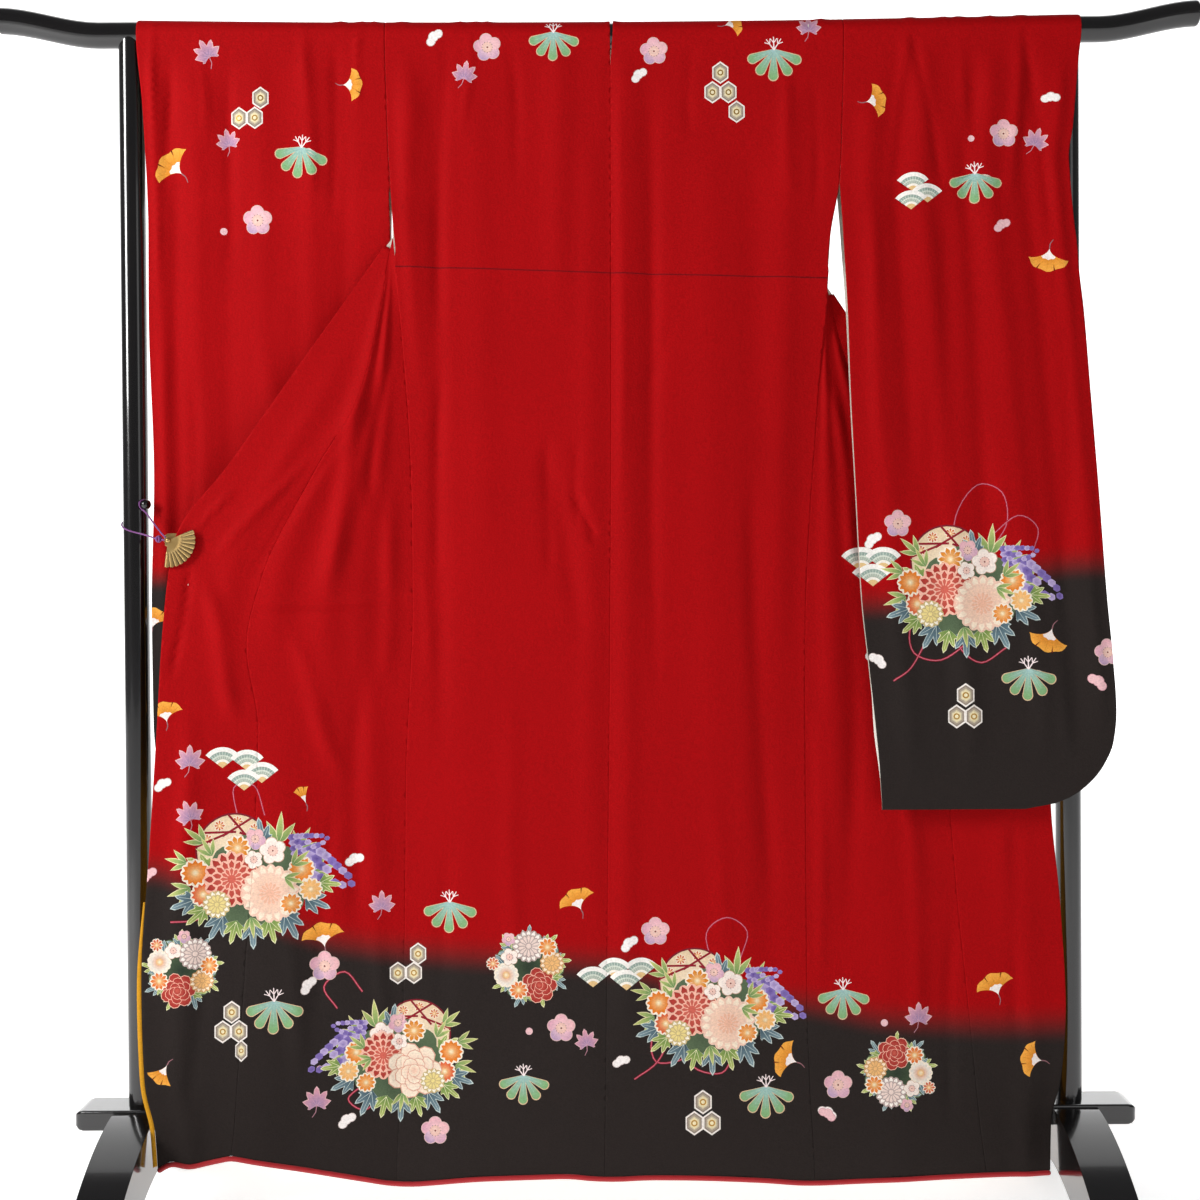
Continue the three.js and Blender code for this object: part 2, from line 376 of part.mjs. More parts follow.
// ---------------------------------------------------------------- edges that show
// red padded roll under the whole hem, one roll from front edge to front edge
function hemRoll() {
  const path = [];
  const p = (q) => path.push([q[0], q[1], q[2] - WALL / 2 - 4.2]);
  for (const u of [0.99, 0.9, 0.8, 0.7, 0.6, 0.5, 0.4, 0.3, 0.2, 0.1, 0.03]) p(frontAt(-1, 16, u));
  const back = (hand, x) => [x, backY(hand, x, 60), read(HEM, 'z', x)];
  for (const x of [-275, -240, -200, -150, -100, -50, -15]) p(back(-1, x));
  for (const x of [15, 60, 110, 160, 210, 250, 276]) p(back(1, x));
  for (const u of [0.03, 0.1, 0.2, 0.3, 0.4, 0.5, 0.6, 0.7, 0.8, 0.9, 0.99]) p(frontAt(1, 17, u));
  return tube('hem_roll', path, 3.6, 8, 0xc8141c, 0.75);
}
function tube(name, path, r, seg, color, rough, metal = 0) {
  const rings = []; let up = [0, 0, 1];
  path.forEach((q, i) => {
    const t = unit(sub(path[Math.min(i + 1, path.length - 1)], path[Math.max(i - 1, 0)]));
    let s = unit(cross(t, up)); up = unit(cross(s, t));
    rings.push([...Array(seg)].map((_, k) => { const a = 2 * Math.PI * k / seg; return add(add(q, s, r * Math.cos(a)), up, r * Math.sin(a)); }));
  });
  return turned(loft(name, rings, color, rough, metal));
}
// gold strip of lining on the left front edge
function liningLeft() {
  const G = [];
  for (const r of [12.4, 13.2, 14, 14.6, 15.2, 15.8]) {
    const a = frontAt(-1, r, 1), b = frontAt(-1, r, 0.9), d = unit(sub(a, b));
    const w = 5 * smooth(12, 13.2, r) + 1;
    G.push([SEAM + 0.2, SEAM + 0.2 + w].map((k) => add(a, d, k)));
  }
  return wall('lining_edge_left', G, normals(G), 0xd8a028, 1.2);
}
// white strip of lining that peeps out at the right sleeve's inner edge
function liningRight() {
  const G = [];
  for (let z = 612; z <= 740; z += 16) {
    const f = sleeveAt(1, 0, z, 0), y = f[1] + WALL / 2 + SEAM + 0.55;
    G.push([0, 1].map((t) => [f[0] - 3 * bell(z, 670, 45) + 9 * t, y, z]));
  }
  return wall('sleeve_lining_right', G, normals(G), 0xe8e2d8, 1.0);
}

// ---------------------------------------------------------------- stand
const BLACK = 0x0c0b0c;
function bar() {
  const rings = [], xs = [-830, -828, -822, -805, -785, -765, -745, -725, -705, -690, -642, -500, -380, -250, -125, 0, 125, 250, 380, 500, 642, 690, 705, 725, 745, 765, 785, 805, 822, 828, 830];
  for (const x of xs) {
    const e = BAR.half - Math.abs(x), r = BAR.r - (e < 8 ? 4 * (1 - e / 8) ** 2 : 0), z = barZ(x);
    rings.push([...Array(24)].map((_, k) => { const a = 2 * Math.PI * k / 24; return [x, r * Math.cos(a), z + r * Math.sin(a)]; }));
  }
  return turned(loft('stand_bar', rings, BLACK, 0.15));
}
function post(name, cx) {
  const n = 24, ring = (z, r, f) => [...Array(n)].map((_, k) => { const a = 2 * Math.PI * (k + 0.5) / n - Math.PI / 2; const x = r * Math.cos(a), y = r * Math.sin(a); return [cx + x, y, f ? f(y) : z]; });
  const top = (y) => barZ(cx) - Math.sqrt((BAR.r + 0.5) ** 2 - y * y);
  const rings = [ring(BEAM.high + 0.3, POST.r), ring(700, POST.r), ring(1300, POST.r), ring(0, POST.r, top)];
  return turned(loft(name, rings, BLACK, 0.15, 0, true));
}
function beam() {
  const rings = [], zc = (BEAM.low + BEAM.high) / 2, h = (BEAM.high - BEAM.low) / 2;
  const sect = (x, dy, dz) => { const c = 3, Y = BEAM.y - dy, Z = h - dz; return [[x, -Y + c, zc - Z], [x, Y - c, zc - Z], [x, Y, zc - Z + c], [x, Y, zc + Z - c], [x, Y - c, zc + Z], [x, -Y + c, zc + Z], [x, -Y, zc + Z - c], [x, -Y, zc - Z + c]]; };
  for (const [e, dy, dz] of [[0, 9, 7], [2, 5, 4], [6, 1.5, 1.2], [12, 0, 0]]) rings.push(sect(-BEAM.half + e, dy, dz));
  for (const [e, dy, dz] of [[12, 0, 0], [6, 1.5, 1.2], [2, 5, 4], [0, 9, 7]]) rings.push(sect(BEAM.half - e, dy, dz));
  return turned(loft('stand_beam', rings, BLACK, 0.15));
}
const footTop = (y) => 155 - 1.22e-3 * y * y;
const footLow = (y) => Math.max(0, 78 - 1.41e-3 * y * y);
function foot(name, cx) {
  const ys = [-280, -277, -268, -255, -235, -215, -195, -170, -145, -120, -95, -70, -50, -35.5, -35.5, 0, 35.5, 35.5, 50, 70, 95, 120, 145, 170, 195, 215, 235, 255, 268, 277, 280];
  let seen = 0;
  const rings = ys.map((y, i) => {
    const e = FOOT.half - Math.abs(y), in1 = Math.abs(y) < 35.6 && i > 13 && i < 17;
    let top = in1 ? BEAM.low - 0.3 : footTop(y) - (e < 25 ? 10 * (1 - e / 25) ** 2 : 0);
    const low = footLow(y), h = FOOT.w / 2 - (e < 12 ? 4 * (1 - e / 12) ** 2 : 0), c = 4;
    const yy = y + (Math.abs(y) === 35.5 ? (in1 ? -Math.sign(y) * 0.0 : 0) : 0);
    return [[cx - h + c, yy, low], [cx + h - c, yy, low], [cx + h, yy, low + c], [cx + h, yy, top - c], [cx + h - c, yy, top], [cx - h + c, yy, top], [cx - h, yy, top - c], [cx - h, yy, low + c]];
  });
  return turned(loft(name, rings, BLACK, 0.15));
}
function knob() {
  // small black button on the left post, on its inner face
  const q = Math.SQRT1_2, z = 992, rings = [];
  for (const [d, r] of [[0.9, 4], [4, 4], [5, 6], [9, 6.8], [12, 6], [13.5, 3.2]]) rings.push([...Array(12)].map((_, k) => {
    const a = 2 * Math.PI * k / 12, out = POST.r + d, w = r * Math.cos(a);
    return [-POST.x + out * q + w * q, -out * q + w * q, z + r * Math.sin(a)];
  }));
  return turned(loft('stand_knob', rings, BLACK, 0.2));
}

// ---------------------------------------------------------------- clip
// brass folding fan: eleven ribs from a pivot, scalloped at the rim
function fan() {
  const ribs = 11, y0 = -54.6, t = 2.4, c = [-590, 942], a0 = 22, a1 = -98, rim = 37, ring = [];
  const pts = [[0, 0]];
  for (let i = 0; i <= ribs * 4; i++) {
    const a = lerp(a0, a1, i / (ribs * 4)) * Math.PI / 180, r = rim + 1.1 * Math.cos(2 * Math.PI * i / 4 + Math.PI) ;
    pts.push([r * Math.cos(a), r * Math.sin(a)]);
  }
  pts[0] = [-3 * Math.cos((a0 + a1) / 2 * Math.PI / 180), -3 * Math.sin((a0 + a1) / 2 * Math.PI / 180)];
  const zig = (i) => (i === 0 ? 0 : 0.8 * Math.cos(2 * Math.PI * (i - 1) / 4));
  const n = pts.length, pos = [], idx = [];
  pts.forEach(([x, z], i) => pos.push(c[0] + x, y0 - t / 2 - zig(i), c[1] + z));
  pts.forEach(([x, z], i) => pos.push(c[0] + x, y0 + t / 2, c[1] + z));
  for (let i = 1; i < n - 1; i++) { idx.push(0, i, i + 1); idx.push(n, n + i + 1, n + i); }
  for (let i = 0; i < n; i++) { const k = (i + 1) % n; idx.push(i, n + i, n + k, i, n + k, k); }
  return turned(mesh('clip_fan', pos, idx, 0xc8a050, 0.35, 1));
}
// plain plate behind the cloth and the pin that joins it to the fan, outside the cloth's edge
function clipBack() {
  const ring = (y, k) => [[-597, 934], [-578, 924], [-560, 930], [-562, 944], [-580, 952], [-597, 950]].map(([x, z]) => [-578 + (x + 578) * k, y, 938 + (z - 938) * k]);
  return turned(loft('clip_back', [ring(-43.6, 0.96), ring(-43.2, 1), ring(-42.4, 1), ring(-42, 0.96)], 0xc8a050, 0.35, 1));
}
const disc = (name, cx, cz, steps, n, color, rough, metal) => turned(loft(name, steps.map(([y, r]) => [...Array(n)].map((_, k) => { const a = 2 * Math.PI * k / n; return [cx + r * Math.cos(a), y, cz + r * Math.sin(a)]; })), color, rough, metal));
const pin = () => disc('clip_pin', -593.2, 943, [[-53.1, 1.5], [-43.9, 1.5]], 10, 0xc8a050, 0.35, 1);
const pivot = () => disc('clip_pivot', -590, 942, [[-56.2, 3.4], [-57.6, 3.4], [-58.4, 2.2]], 12, 0xc8a050, 0.35, 1);
// purple cord: from the knot round the post, over the button and down to the fan
function cord() {
  const P = [[-608.4, -50.3, 944.4], [-621, -35, 948], [-634, -23, 951.4], [-645, -19.3, 954]];
  for (const [deg, z] of [[-112, 957], [-135, 960], [-158, 963.5], [-180, 967], [-203, 970.5], [-226, 974], [-249, 977.5], [-272, 981], [-295, 984.5], [-318, 988], [-338, 991.6], [-356, 995.4], [-372, 997.2], [-388, 998]])
    P.push([-647 + 19.3 * Math.cos(deg * Math.PI / 180), 19.3 * Math.sin(deg * Math.PI / 180), z]);
  P.push([-632.7, -14.3, 998.4], [-636.8, -18.4, 995.8], [-637.4, -19, 991], [-635.6, -17.2, 986.6], [-632.2, -16.6, 983.8], [-626, -23, 978.5], [-614, -37, 966], [-600, -53, 952], [-593.2, -57.7, 945.8]);
  return tube('clip_cord', P, 1.2, 6, 0x5a3a78, 0.8);
}
const cordEnd = () => tube('clip_cord_end', [[-594.9, -57.5, 942.1], [-596.6, -56.6, 942.4], [-598.2, -55.7, 942.7]], 1.2, 6, 0x5a3a78, 0.8);
// the knot's fuzzy ball, a little lumpy
function knot() {
  const c = [-603.4, -53.2, 943.6], rings = [];
  for (const a of [-80, -58, -34, -10, 12, 34, 58, 80]) rings.push([...Array(14)].map((_, k) => {
    const b = 2 * Math.PI * k / 14, r = 5.0 + 0.45 * Math.sin(3 * b + a / 20) + 0.3 * Math.cos(5 * b - a / 15);
    const e = a * Math.PI / 180;
    return [c[0] + r * Math.cos(e) * Math.cos(b), c[1] + r * Math.cos(e) * Math.sin(b), c[2] + r * Math.sin(e)];
  }));
  return turned(loft('clip_knot', rings, 0x5a3a78, 0.9));
}

const group = new THREE.Group();
group.name = 'furisode_on_stand';
group.add(...bodyAndOverlap(-1), ...bodyAndOverlap(1), sleeve(-1), sleeve(1), collar(), hemRoll(), liningLeft(), liningRight(),
  bar(), post('stand_post_left', -POST.x), post('stand_post_right', POST.x), beam(), foot('stand_foot_left', -FOOT.x), foot('stand_foot_right', FOOT.x), knob(), fan(), clipBack(), pin(), pivot(), cord(), cordEnd(), knot());
export default group;
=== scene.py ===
# %% [markdown]
# # A furisode spread over its stand
# A furisode is the long-sleeved silk kimono. Here it hangs by its sleeves over the bar of a
# black lacquer stand, its back towards us, and one front panel is drawn out to the left by a clip.
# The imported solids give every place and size. This script gives the cloth its fine surface and its
# printed flowers, the lacquer its depth, and the clip its brass.

# %% Set-up
import math

import bmesh
import bpy
import numpy as np
from mathutils import Matrix, Vector
from mathutils.geometry import delaunay_2d_cdt
from mathutils.kdtree import KDTree


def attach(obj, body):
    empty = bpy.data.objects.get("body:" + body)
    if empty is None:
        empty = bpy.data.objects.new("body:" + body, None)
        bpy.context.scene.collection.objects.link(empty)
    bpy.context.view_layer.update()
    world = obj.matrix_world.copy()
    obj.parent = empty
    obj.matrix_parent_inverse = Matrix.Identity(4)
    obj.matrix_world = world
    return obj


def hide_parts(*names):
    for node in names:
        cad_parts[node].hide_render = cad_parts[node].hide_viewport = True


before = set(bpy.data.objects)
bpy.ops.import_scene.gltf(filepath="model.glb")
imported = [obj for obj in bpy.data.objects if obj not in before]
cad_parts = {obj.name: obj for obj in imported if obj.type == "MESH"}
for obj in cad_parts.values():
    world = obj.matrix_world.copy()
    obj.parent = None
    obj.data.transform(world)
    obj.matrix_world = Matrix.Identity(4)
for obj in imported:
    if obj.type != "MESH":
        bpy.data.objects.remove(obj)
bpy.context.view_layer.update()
MM = 0.001
print("frame loaded with", len(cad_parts), "nodes")

# %% [markdown]
# ## The camera
# The view is level and straight on, from a little over two and a half metres, as a garment is
# usually shown. The horizon leans by a third of a degree, so the camera is rolled by that much.

# %% Camera
def placed(name, data):
    """A new object in the scene, which holds a mesh, a light or a camera."""
    obj = bpy.data.objects.new(name, data)
    bpy.context.scene.collection.objects.link(obj)
    return obj


EYE = Vector((-0.003, -2.6, 0.891))
AIM = Vector((-0.003, 0.0, 0.856))
ROLL = math.radians(-0.37)
LENS, SENSOR = 56.1, 36
camera = placed("camera", bpy.data.cameras.new("camera"))
camera.location = EYE
camera.rotation_euler = (AIM - EYE).to_track_quat("-Z", "Y").to_matrix().to_euler()
camera.rotation_euler.rotate_axis("Z", ROLL)
camera.data.lens = LENS
camera.data.sensor_width = SENSOR
bpy.context.scene.camera = camera
print("camera at", tuple(EYE))

# %% [markdown]
# ## The sizes that everything follows
# Cloth is drawn in millimetres. The wall is the silk with its lining. The bar carries the cloth,
# and the middle of the wall turns round the bar at CLOTH_RADIUS. Tables hold a row for each
# height, and a smooth curve that never overshoots is read between the rows.

# %% Sizes and curve tools
WALL = 1.4
SEAM = 0.3
BAR = {"radius": 18, "axis": 1636, "sag": 6, "straight": 690, "half": 830, "rise": 21}
POST = {"x": 647, "radius": 17.5}
BEAM = {"half": 732, "y": 35, "low": 129, "high": 157}
FOOT = {"x": 647, "width": 62, "half": 280}
CLOTH_RADIUS = BAR["radius"] + 0.5 + WALL / 2


HAND_NAME = {-1: "left", 1: "right"}      # the viewer's left and right


def lerp(a, b, t):
    return a + (b - a) * t


def smooth(a, b, v):
    t = np.clip((v - a) / (b - a), 0, 1)
    return t * t * (3 - 2 * t)


def bell(v, centre, width):
    return np.exp(-(((v - centre) / width) ** 2))


class Table:
    """Rows sorted by the first column, and a smooth curve through each other column."""

    def __init__(self, columns, rows):
        rows = np.array(rows, float)
        self.rows = rows if rows[0, 0] < rows[-1, 0] else rows[::-1]
        self.columns = columns.split()
        self.curves = {}
        for i, name in enumerate(self.columns):
            k, v = self.rows[:, 0], self.rows[:, i]
            d = np.diff(v) / np.diff(k)
            m = np.zeros(len(k))
            same = d[:-1] * d[1:] > 0
            m[1:-1][same] = 2 * (d[:-1] * d[1:])[same] / (d[:-1] + d[1:])[same]
            self.curves[name] = (v, m)

    def read(self, name, key):
        k, (v, m) = self.rows[:, 0], self.curves[name]
        key = np.clip(np.asarray(key, float), k[0], k[-1])
        i = np.clip(np.searchsorted(k, key, side="right") - 1, 0, len(k) - 2)
        h = k[i + 1] - k[i]
        t = (key - k[i]) / h
        rise = v[i] * (1 + 2 * t) * (1 - t) ** 2 + v[i + 1] * t * t * (3 - 2 * t)
        return rise + m[i] * h * t * (1 - t) ** 2 + m[i + 1] * h * t * t * (t - 1)


def bar_z(x):
    sag = BAR["sag"] * np.minimum(1, (np.asarray(x) / 642) ** 2)
    return BAR["axis"] + sag + BAR["rise"] * smooth(BAR["straight"], BAR["half"], np.abs(x))


print("middle of the cloth turns round the bar at", CLOTH_RADIUS, "mm")

# %% [markdown]
# ## The back of the garment
# Each back length runs from its side seam to the centre seam. The side seams lean in to the
# waist, the centre seam wanders a few millimetres, and soft folds fall from the bar. These are
# the same tables that shaped the solids, so the fine cloth lies exactly on them.

# %% Outlines and folds of the back
SIDE = {
    -1: Table("z x y", [
        [1640, -294, -19.3], [1500, -291, -21], [1425, -287.6, -22.5], [1364, -283, -28],
        [1318, -278.5, -28], [1240, -272, -27.2], [1085, -262, -27], [960, -259.5, -28],
        [845, -259.5, -30], [740, -264, -31.5], [620, -270, -33.5], [480, -272, -35.5],
        [330, -275, -37.5], [190, -280, -39.5], [62, -286, -40.5]]),
    1: Table("z x y", [
        [1640, 337, -19.3], [1500, 333.5, -21], [1432, 330, -22.5], [1356, 317, -23.5],
        [1298, 312, -23.5], [1250, 308.5, -21.5], [1188, 302, -21], [1090, 294.5, -21.5],
        [970, 285.5, -22.5], [830, 278.5, -24.5], [690, 277, -27.5], [560, 277, -30.5],
        [430, 277, -33.5], [300, 277, -36.5], [190, 280, -39], [58, 286, -40.5]]),
}
CENTRE = Table("z x gap", [
    [1656, 18, 2.4], [1620, 17, 1.4], [1590, 16, 0.15], [1269, 15, 0.15], [857, 11, 0.15],
    [444, 5, 0.15], [200, 1, 0.15], [60, -1, 0.15]])
HEM = Table("x z", [
    [-286, 58], [-172, 65], [-101, 67], [-53, 68], [0, 63], [60, 65.5], [108, 65], [212, 61],
    [286, 56]])
BACK = Table("z y", [
    [1640, -19.3], [1500, -22], [1300, -26], [900, -33.5], [500, -38.5], [160, -40.5],
    [60, -41]])
# x_top x_low z_top z_low width forward
BACK_FOLDS = [
    [-270, -262, 1590, 1200, 16, 3.2], [-226, -222, 1600, 700, 13, -2.6],
    [-170, -160, 1560, 950, 22, 1.8], [-54, -58, 1650, 1300, 20, 3.0],
    [-72, -30, 1060, 820, 14, -2.4], [-14, -22, 1500, 500, 16, 2.0],
    [40, 30, 1620, 300, 16, 3.0], [72, 66, 1560, 900, 14, -2.2],
    [150, 150, 1500, 650, 26, 1.8], [210, 225, 1480, 300, 22, -2.6],
    [262, 240, 1560, 800, 18, 2.4]]
GATHERS = [-356, -327, -310, -270, -191, -171, -154, 20, 307, 430, 476, 497, 540, 583]


def side(hand, z):
    return SIDE[hand].read("x", z), SIDE[hand].read("y", z)


def back_y(hand, x, z):
    side_x, side_y = side(hand, z)
    reach = np.abs(x - side_x)
    fade = smooth(0, 24, reach) * smooth(1640, 1590, z)
    low = smooth(150, 230, z)
    forward = 0
    for x_top, x_low, z_top, z_low, width, height in BACK_FOLDS:
        middle = lerp(x_top, x_low, np.clip((z_top - z) / (z_top - z_low), 0, 1))
        run = smooth(z_low - 90, z_low + 60, z) * smooth(z_top + 20, z_top - 70, z)
        forward = forward + height * bell(x, middle, width) * run
    seam = 1.2 * bell(x, CENTRE.read("x", z), 9) * fade * low
    return lerp(BACK.read("y", z), side_y, smooth(90, 0, reach)) - forward * low * fade + seam


def gather(x):
    return sum(1.5 * bell(x, g, 7) for g in GATHERS)


def over_bar(x, angle):
    """A point of the cloth on the bar: angle 0 faces the viewer, a quarter turn is the top."""
    radius = CLOTH_RADIUS + gather(x) * np.sin(angle) ** 2
    return np.stack([x, -radius * np.cos(angle), bar_z(x) + radius * np.sin(angle)], -1)


def centre_edge(hand, z):
    """The centre seam; it is sewn shut below the neck and parts a little at the bar."""
    return CENTRE.read("x", z) + hand * np.maximum(CENTRE.read("gap", z) - SEAM / 2, 0.0)


print("back lengths:", len(SIDE[-1].rows), "and", len(SIDE[1].rows), "rows,", len(BACK_FOLDS), "folds")

# %% [markdown]
# ## The front panels
# The fronts pass from the bar, round the side seam and out beside the back. A row is a section
# from the side seam S to the overlap seam K and on to the front edge O. The upper rows are
# pinched together at the waist, and pleats run down from the pinch.

# %% Sections and pleats of the fronts
SECTION = "row sx sy sz kx ky kz ox oy oz"
FRONT = {
    -1: Table(SECTION, [
        [0, -294, 19.3, 1640, -90, 19.3, 1637, -90, 19.3, 1637],
        [1, -291, 19, 1520, -159, 12, 1542, -159, 12, 1542],
        [2, -287.6, 15, 1425, -213, 4, 1465, -213, 4, 1465],
        [3, -284.6, -1, 1388, -240, -2, 1426, -240, -2, 1426],
        [4, -284.4, -22.9, 1364.7, -255, -4.1, 1404, -255, -4.1, 1404],
        [5, -281.4, -25.4, 1317.5, -284, -15.3, 1361, -285, -14.8, 1363],
        [6, -272.6, -27, 1215, -301, -28, 1262, -341, -24, 1283],
        [7, -262.6, -27, 1088, -331, -33, 1138, -411, -34, 1184],
        [8, -260.1, -28, 962, -391, -40, 1037, -505, -42, 1051],
        [9, -260.1, -30, 846, -464, -45, 893, -583, -50, 940],
        [10, -264.6, -31.5, 740, -486, -46, 794, -599, -56, 815],
        [11, -270.6, -33.5, 620, -471, -48, 680, -607, -61, 680],
        [12, -272.6, -35.5, 480, -476, -54, 530, -617, -67, 520],
        [13, -275.6, -37.5, 330, -489, -61, 360, -627, -75, 350],
        [14, -280.6, -39.5, 190, -499, -71, 205, -622, -83, 210],
        [15, -283.6, -40, 125, -503, -75, 145, -608, -87, 145],
        [16, -286.6, -40.5, 58, -507, -78, 108, -604, -90, 91]]),
    1: Table(SECTION, [
        [0, 337, 19.3, 1640, 90, 19.3, 1637, 90, 19.3, 1637],
        [1, 334, 19, 1520, 158, 14, 1535, 158, 14, 1535],
        [2, 330, 15, 1432, 212, 9, 1451, 212, 9, 1451],
        [3, 323, 8, 1386, 242, 6, 1405, 242, 6, 1405],
        [4, 318, -4, 1342, 263, 3, 1371, 263, 3, 1371],
        [5, 313.6, -16, 1302, 280, 1, 1346, 280, 1, 1346],
        [6, 310, -21.5, 1258, 311, -6, 1293, 312, -5, 1295],
        [7, 303.2, -21, 1190, 330, -11, 1215, 366, -10, 1211],
        [8, 295.2, -21.5, 1090, 364, -9, 1110, 437, -14, 1102],
        [9, 286.2, -22.5, 970, 404, -11, 980, 518, -19, 976],
        [10, 279.2, -24.5, 830, 442, -15, 830, 612, -24, 830],
        [11, 277.6, -27.5, 690, 465, -19, 690, 613, -25, 690],
        [12, 277.6, -30.5, 560, 478, -23, 560, 617, -26, 565],
        [13, 277.6, -33.5, 430, 488, -27, 430, 629, -28, 430],
        [14, 277.6, -36.5, 300, 500, -33, 300, 635, -32, 300],
        [15, 280.6, -39, 190, 509, -38.5, 195, 627, -38.5, 200],
        [16, 282.6, -40, 125, 515, -41, 130, 612, -41.5, 135],
        [17, 286.6, -40.5, 56, 523, -43, 67, 610, -44, 70]]),
}
# u_top u_low from_row to_row width forward, where u is the share of the way from S to O
PLEATS = {
    -1: [[0.42, 0.30, 6, 10.2, 0.07, 5.5], [0.62, 0.52, 6, 9.5, 0.06, 4.5],
         [0.28, 0.12, 7, 12, 0.06, 3.5], [0.80, 0.70, 7, 10, 0.06, 3.0],
         [0.40, 0.62, 9.2, 10, 0.2, 3.0], [0.5, 0.5, 11, 16, 0.1, 4.0],
         [0.86, 0.82, 11.5, 16, 0.06, 4.5]],
    1: [[0.14, 0.12, 7, 12, 0.06, 3.5], [0.5, 0.42, 7, 11, 0.08, 3.5],
        [0.75, 0.66, 8, 12, 0.08, 3.0], [0.34, 0.3, 11, 17, 0.09, 3.0],
        [0.82, 0.86, 11.5, 17, 0.07, 3.5]],
}
K_SHARE = 0.6
THROAT = {-1: 5.6, 1: 6.4}      # the row below which a front faces the viewer
LAST = {-1: 16, 1: 17}
NECK_SLACK = {-1: (2.1, 4.1, 0.6), 1: (8, 5.1, 0.8)}


def front_at(hand, row, u):
    row, u = np.broadcast_arrays(np.asarray(row, float), np.asarray(u, float))
    s, k, o = (np.stack([FRONT[hand].read(c + a, row) for a in "xyz"], -1) for c in "sko")
    side_x, side_y = side(hand, s[..., 2])
    s[..., 0] = lerp(s[..., 0], lerp(side_x, s[..., 0], smooth(1.9, 2, row)), row < 2)
    turn_in, ease = smooth(5, 6, row), smooth(6, 8, row)
    s[..., 0] = lerp(s[..., 0], side_x + hand * lerp(2.2, 0.7, ease), turn_in)
    s[..., 1] = lerp(s[..., 1], side_y + lerp(2.2, 0.3, ease), turn_in)
    share = u[..., None]
    p = np.where(share <= K_SHARE, s + (k - s) * share / K_SHARE,
                 k + (o - k) * (share - K_SHARE) / (1 - K_SHARE))
    arch = np.sin(np.pi * np.minimum(1, u / K_SHARE))
    depth, at, width = NECK_SLACK[hand]
    p[..., 1] -= depth * bell(row, at, width) * arch
    if hand < 0:
        p[..., 0] += 7.7 * bell(row, 4.2, 0.4) * arch
        p[..., 1] -= bell(row, 5.3, 0.4) * arch
    for u_top, u_low, first, last, width, forward in PLEATS[hand]:
        middle = lerp(u_top, u_low, np.clip((row - first) / (last - first), 0, 1))
        run = smooth(first - 0.7, first + 0.6, row) * smooth(last + 0.8, last - 0.4, row)
        p[..., 1] -= forward * bell(u, middle, width) * run * smooth(0, 0.1, u)
    if hand < 0:
        p[..., 2] += 9 * bell(u, 0.93, 0.07) * smooth(14.5, 16, row)
    return p


print("front pleats:", {HAND_NAME[h]: len(p) for h, p in PLEATS.items()})

# %% [markdown]
# ## The sleeves
# A furisode sleeve hangs more than a metre below the bar and ends in a round corner. It is one
# sheet: up the face that we see, over the bar, and down again behind.

# %% Edges and folds of the sleeves
EDGES = "z xin xout xback fin fout rin rout"
SLEEVE = {
    -1: Table(EDGES, [
        [1640, -294.3, -636, -634, -19.3, -19.3, 19.3, 19.3],
        [1543, -291.9, -628, -627, -20.5, -20, 19, 19],
        [1480, -290.6, -625, -624, -21.5, -19, 18, 17],
        [1425, -289.4, -623.5, -623.5, -22.5, -15, 15, 6],
        [1395, -289.5, -623.5, -623.5, -15, -11.5, 11, -3],
        [1364, -289.6, -624, -624, -9, -8.6, 8, -6.4],
        [1250, -292, -625, -625, -8.5, -7, 6, -4.8],
        [1036, -294, -620, -620, -8, -6, 6, -3.8],
        [843, -296, -625, -625, -7.5, -6, 6, -3.8],
        [690, -298, -624, -624, -7, -6, 5, -3.8],
        [640, -299, -620, -620, -6.5, -6, 4, -3.8],
        [600, -300, -606, -606, -6, -6, 0, -3.8],
        [575, -300, -576, -576, -6, -6, -3, -3.8],
        [566, -300, -545, -545, -6, -6, -3.8, -3.8]]),
    1: Table(EDGES, [
        [1640, 337.3, 664, 655, -19.3, -19.3, 19.3, 19.3],
        [1600, 336.2, 660, 633, -19.6, -20, 19.1, 19.4],
        [1560, 335.2, 656, 620, -20.2, -21.5, 18.8, 19],
        [1500, 333.8, 650, 616, -21, -24, 18, 15],
        [1461, 332, 644, 616, -22, -27, 16.6, 8],
        [1432, 330.4, 645, 617, -22.5, -30, 15, 0],
        [1400, 331.5, 647, 621, -26, -32, 8, -14],
        [1372, 333, 649, 627, -29, -34, 3, -25],
        [1345, 334, 652, 650, -32, -36, -3, -33.6],
        [1300, 336, 655, 655, -36, -39, -12, -36.6],
        [1250, 338, 660, 660, -41, -42, -20, -39.6],
        [1150, 340.5, 667, 667, -46, -46, -32, -43.6],
        [1000, 347, 678, 678, -50, -50, -39, -47.6],
        [857, 354, 688, 688, -52, -52, -42, -49.6],
        [769, 363, 696, 696, -53, -53, -43.5, -50.6],
        [700, 370, 700, 700, -53.5, -53.5, -44.5, -51.1],
        [660, 374, 696, 696, -54, -54, -46, -51.6],
        [625, 377, 681, 681, -54, -54, -48, -51.6],
        [592, 379, 650, 650, -54, -54, -50, -51.6],
        [574, 380, 612, 612, -54, -54, -51.5, -51.6],
        [568, 380, 575, 575, -54, -54, -51.6, -51.6]]),
}
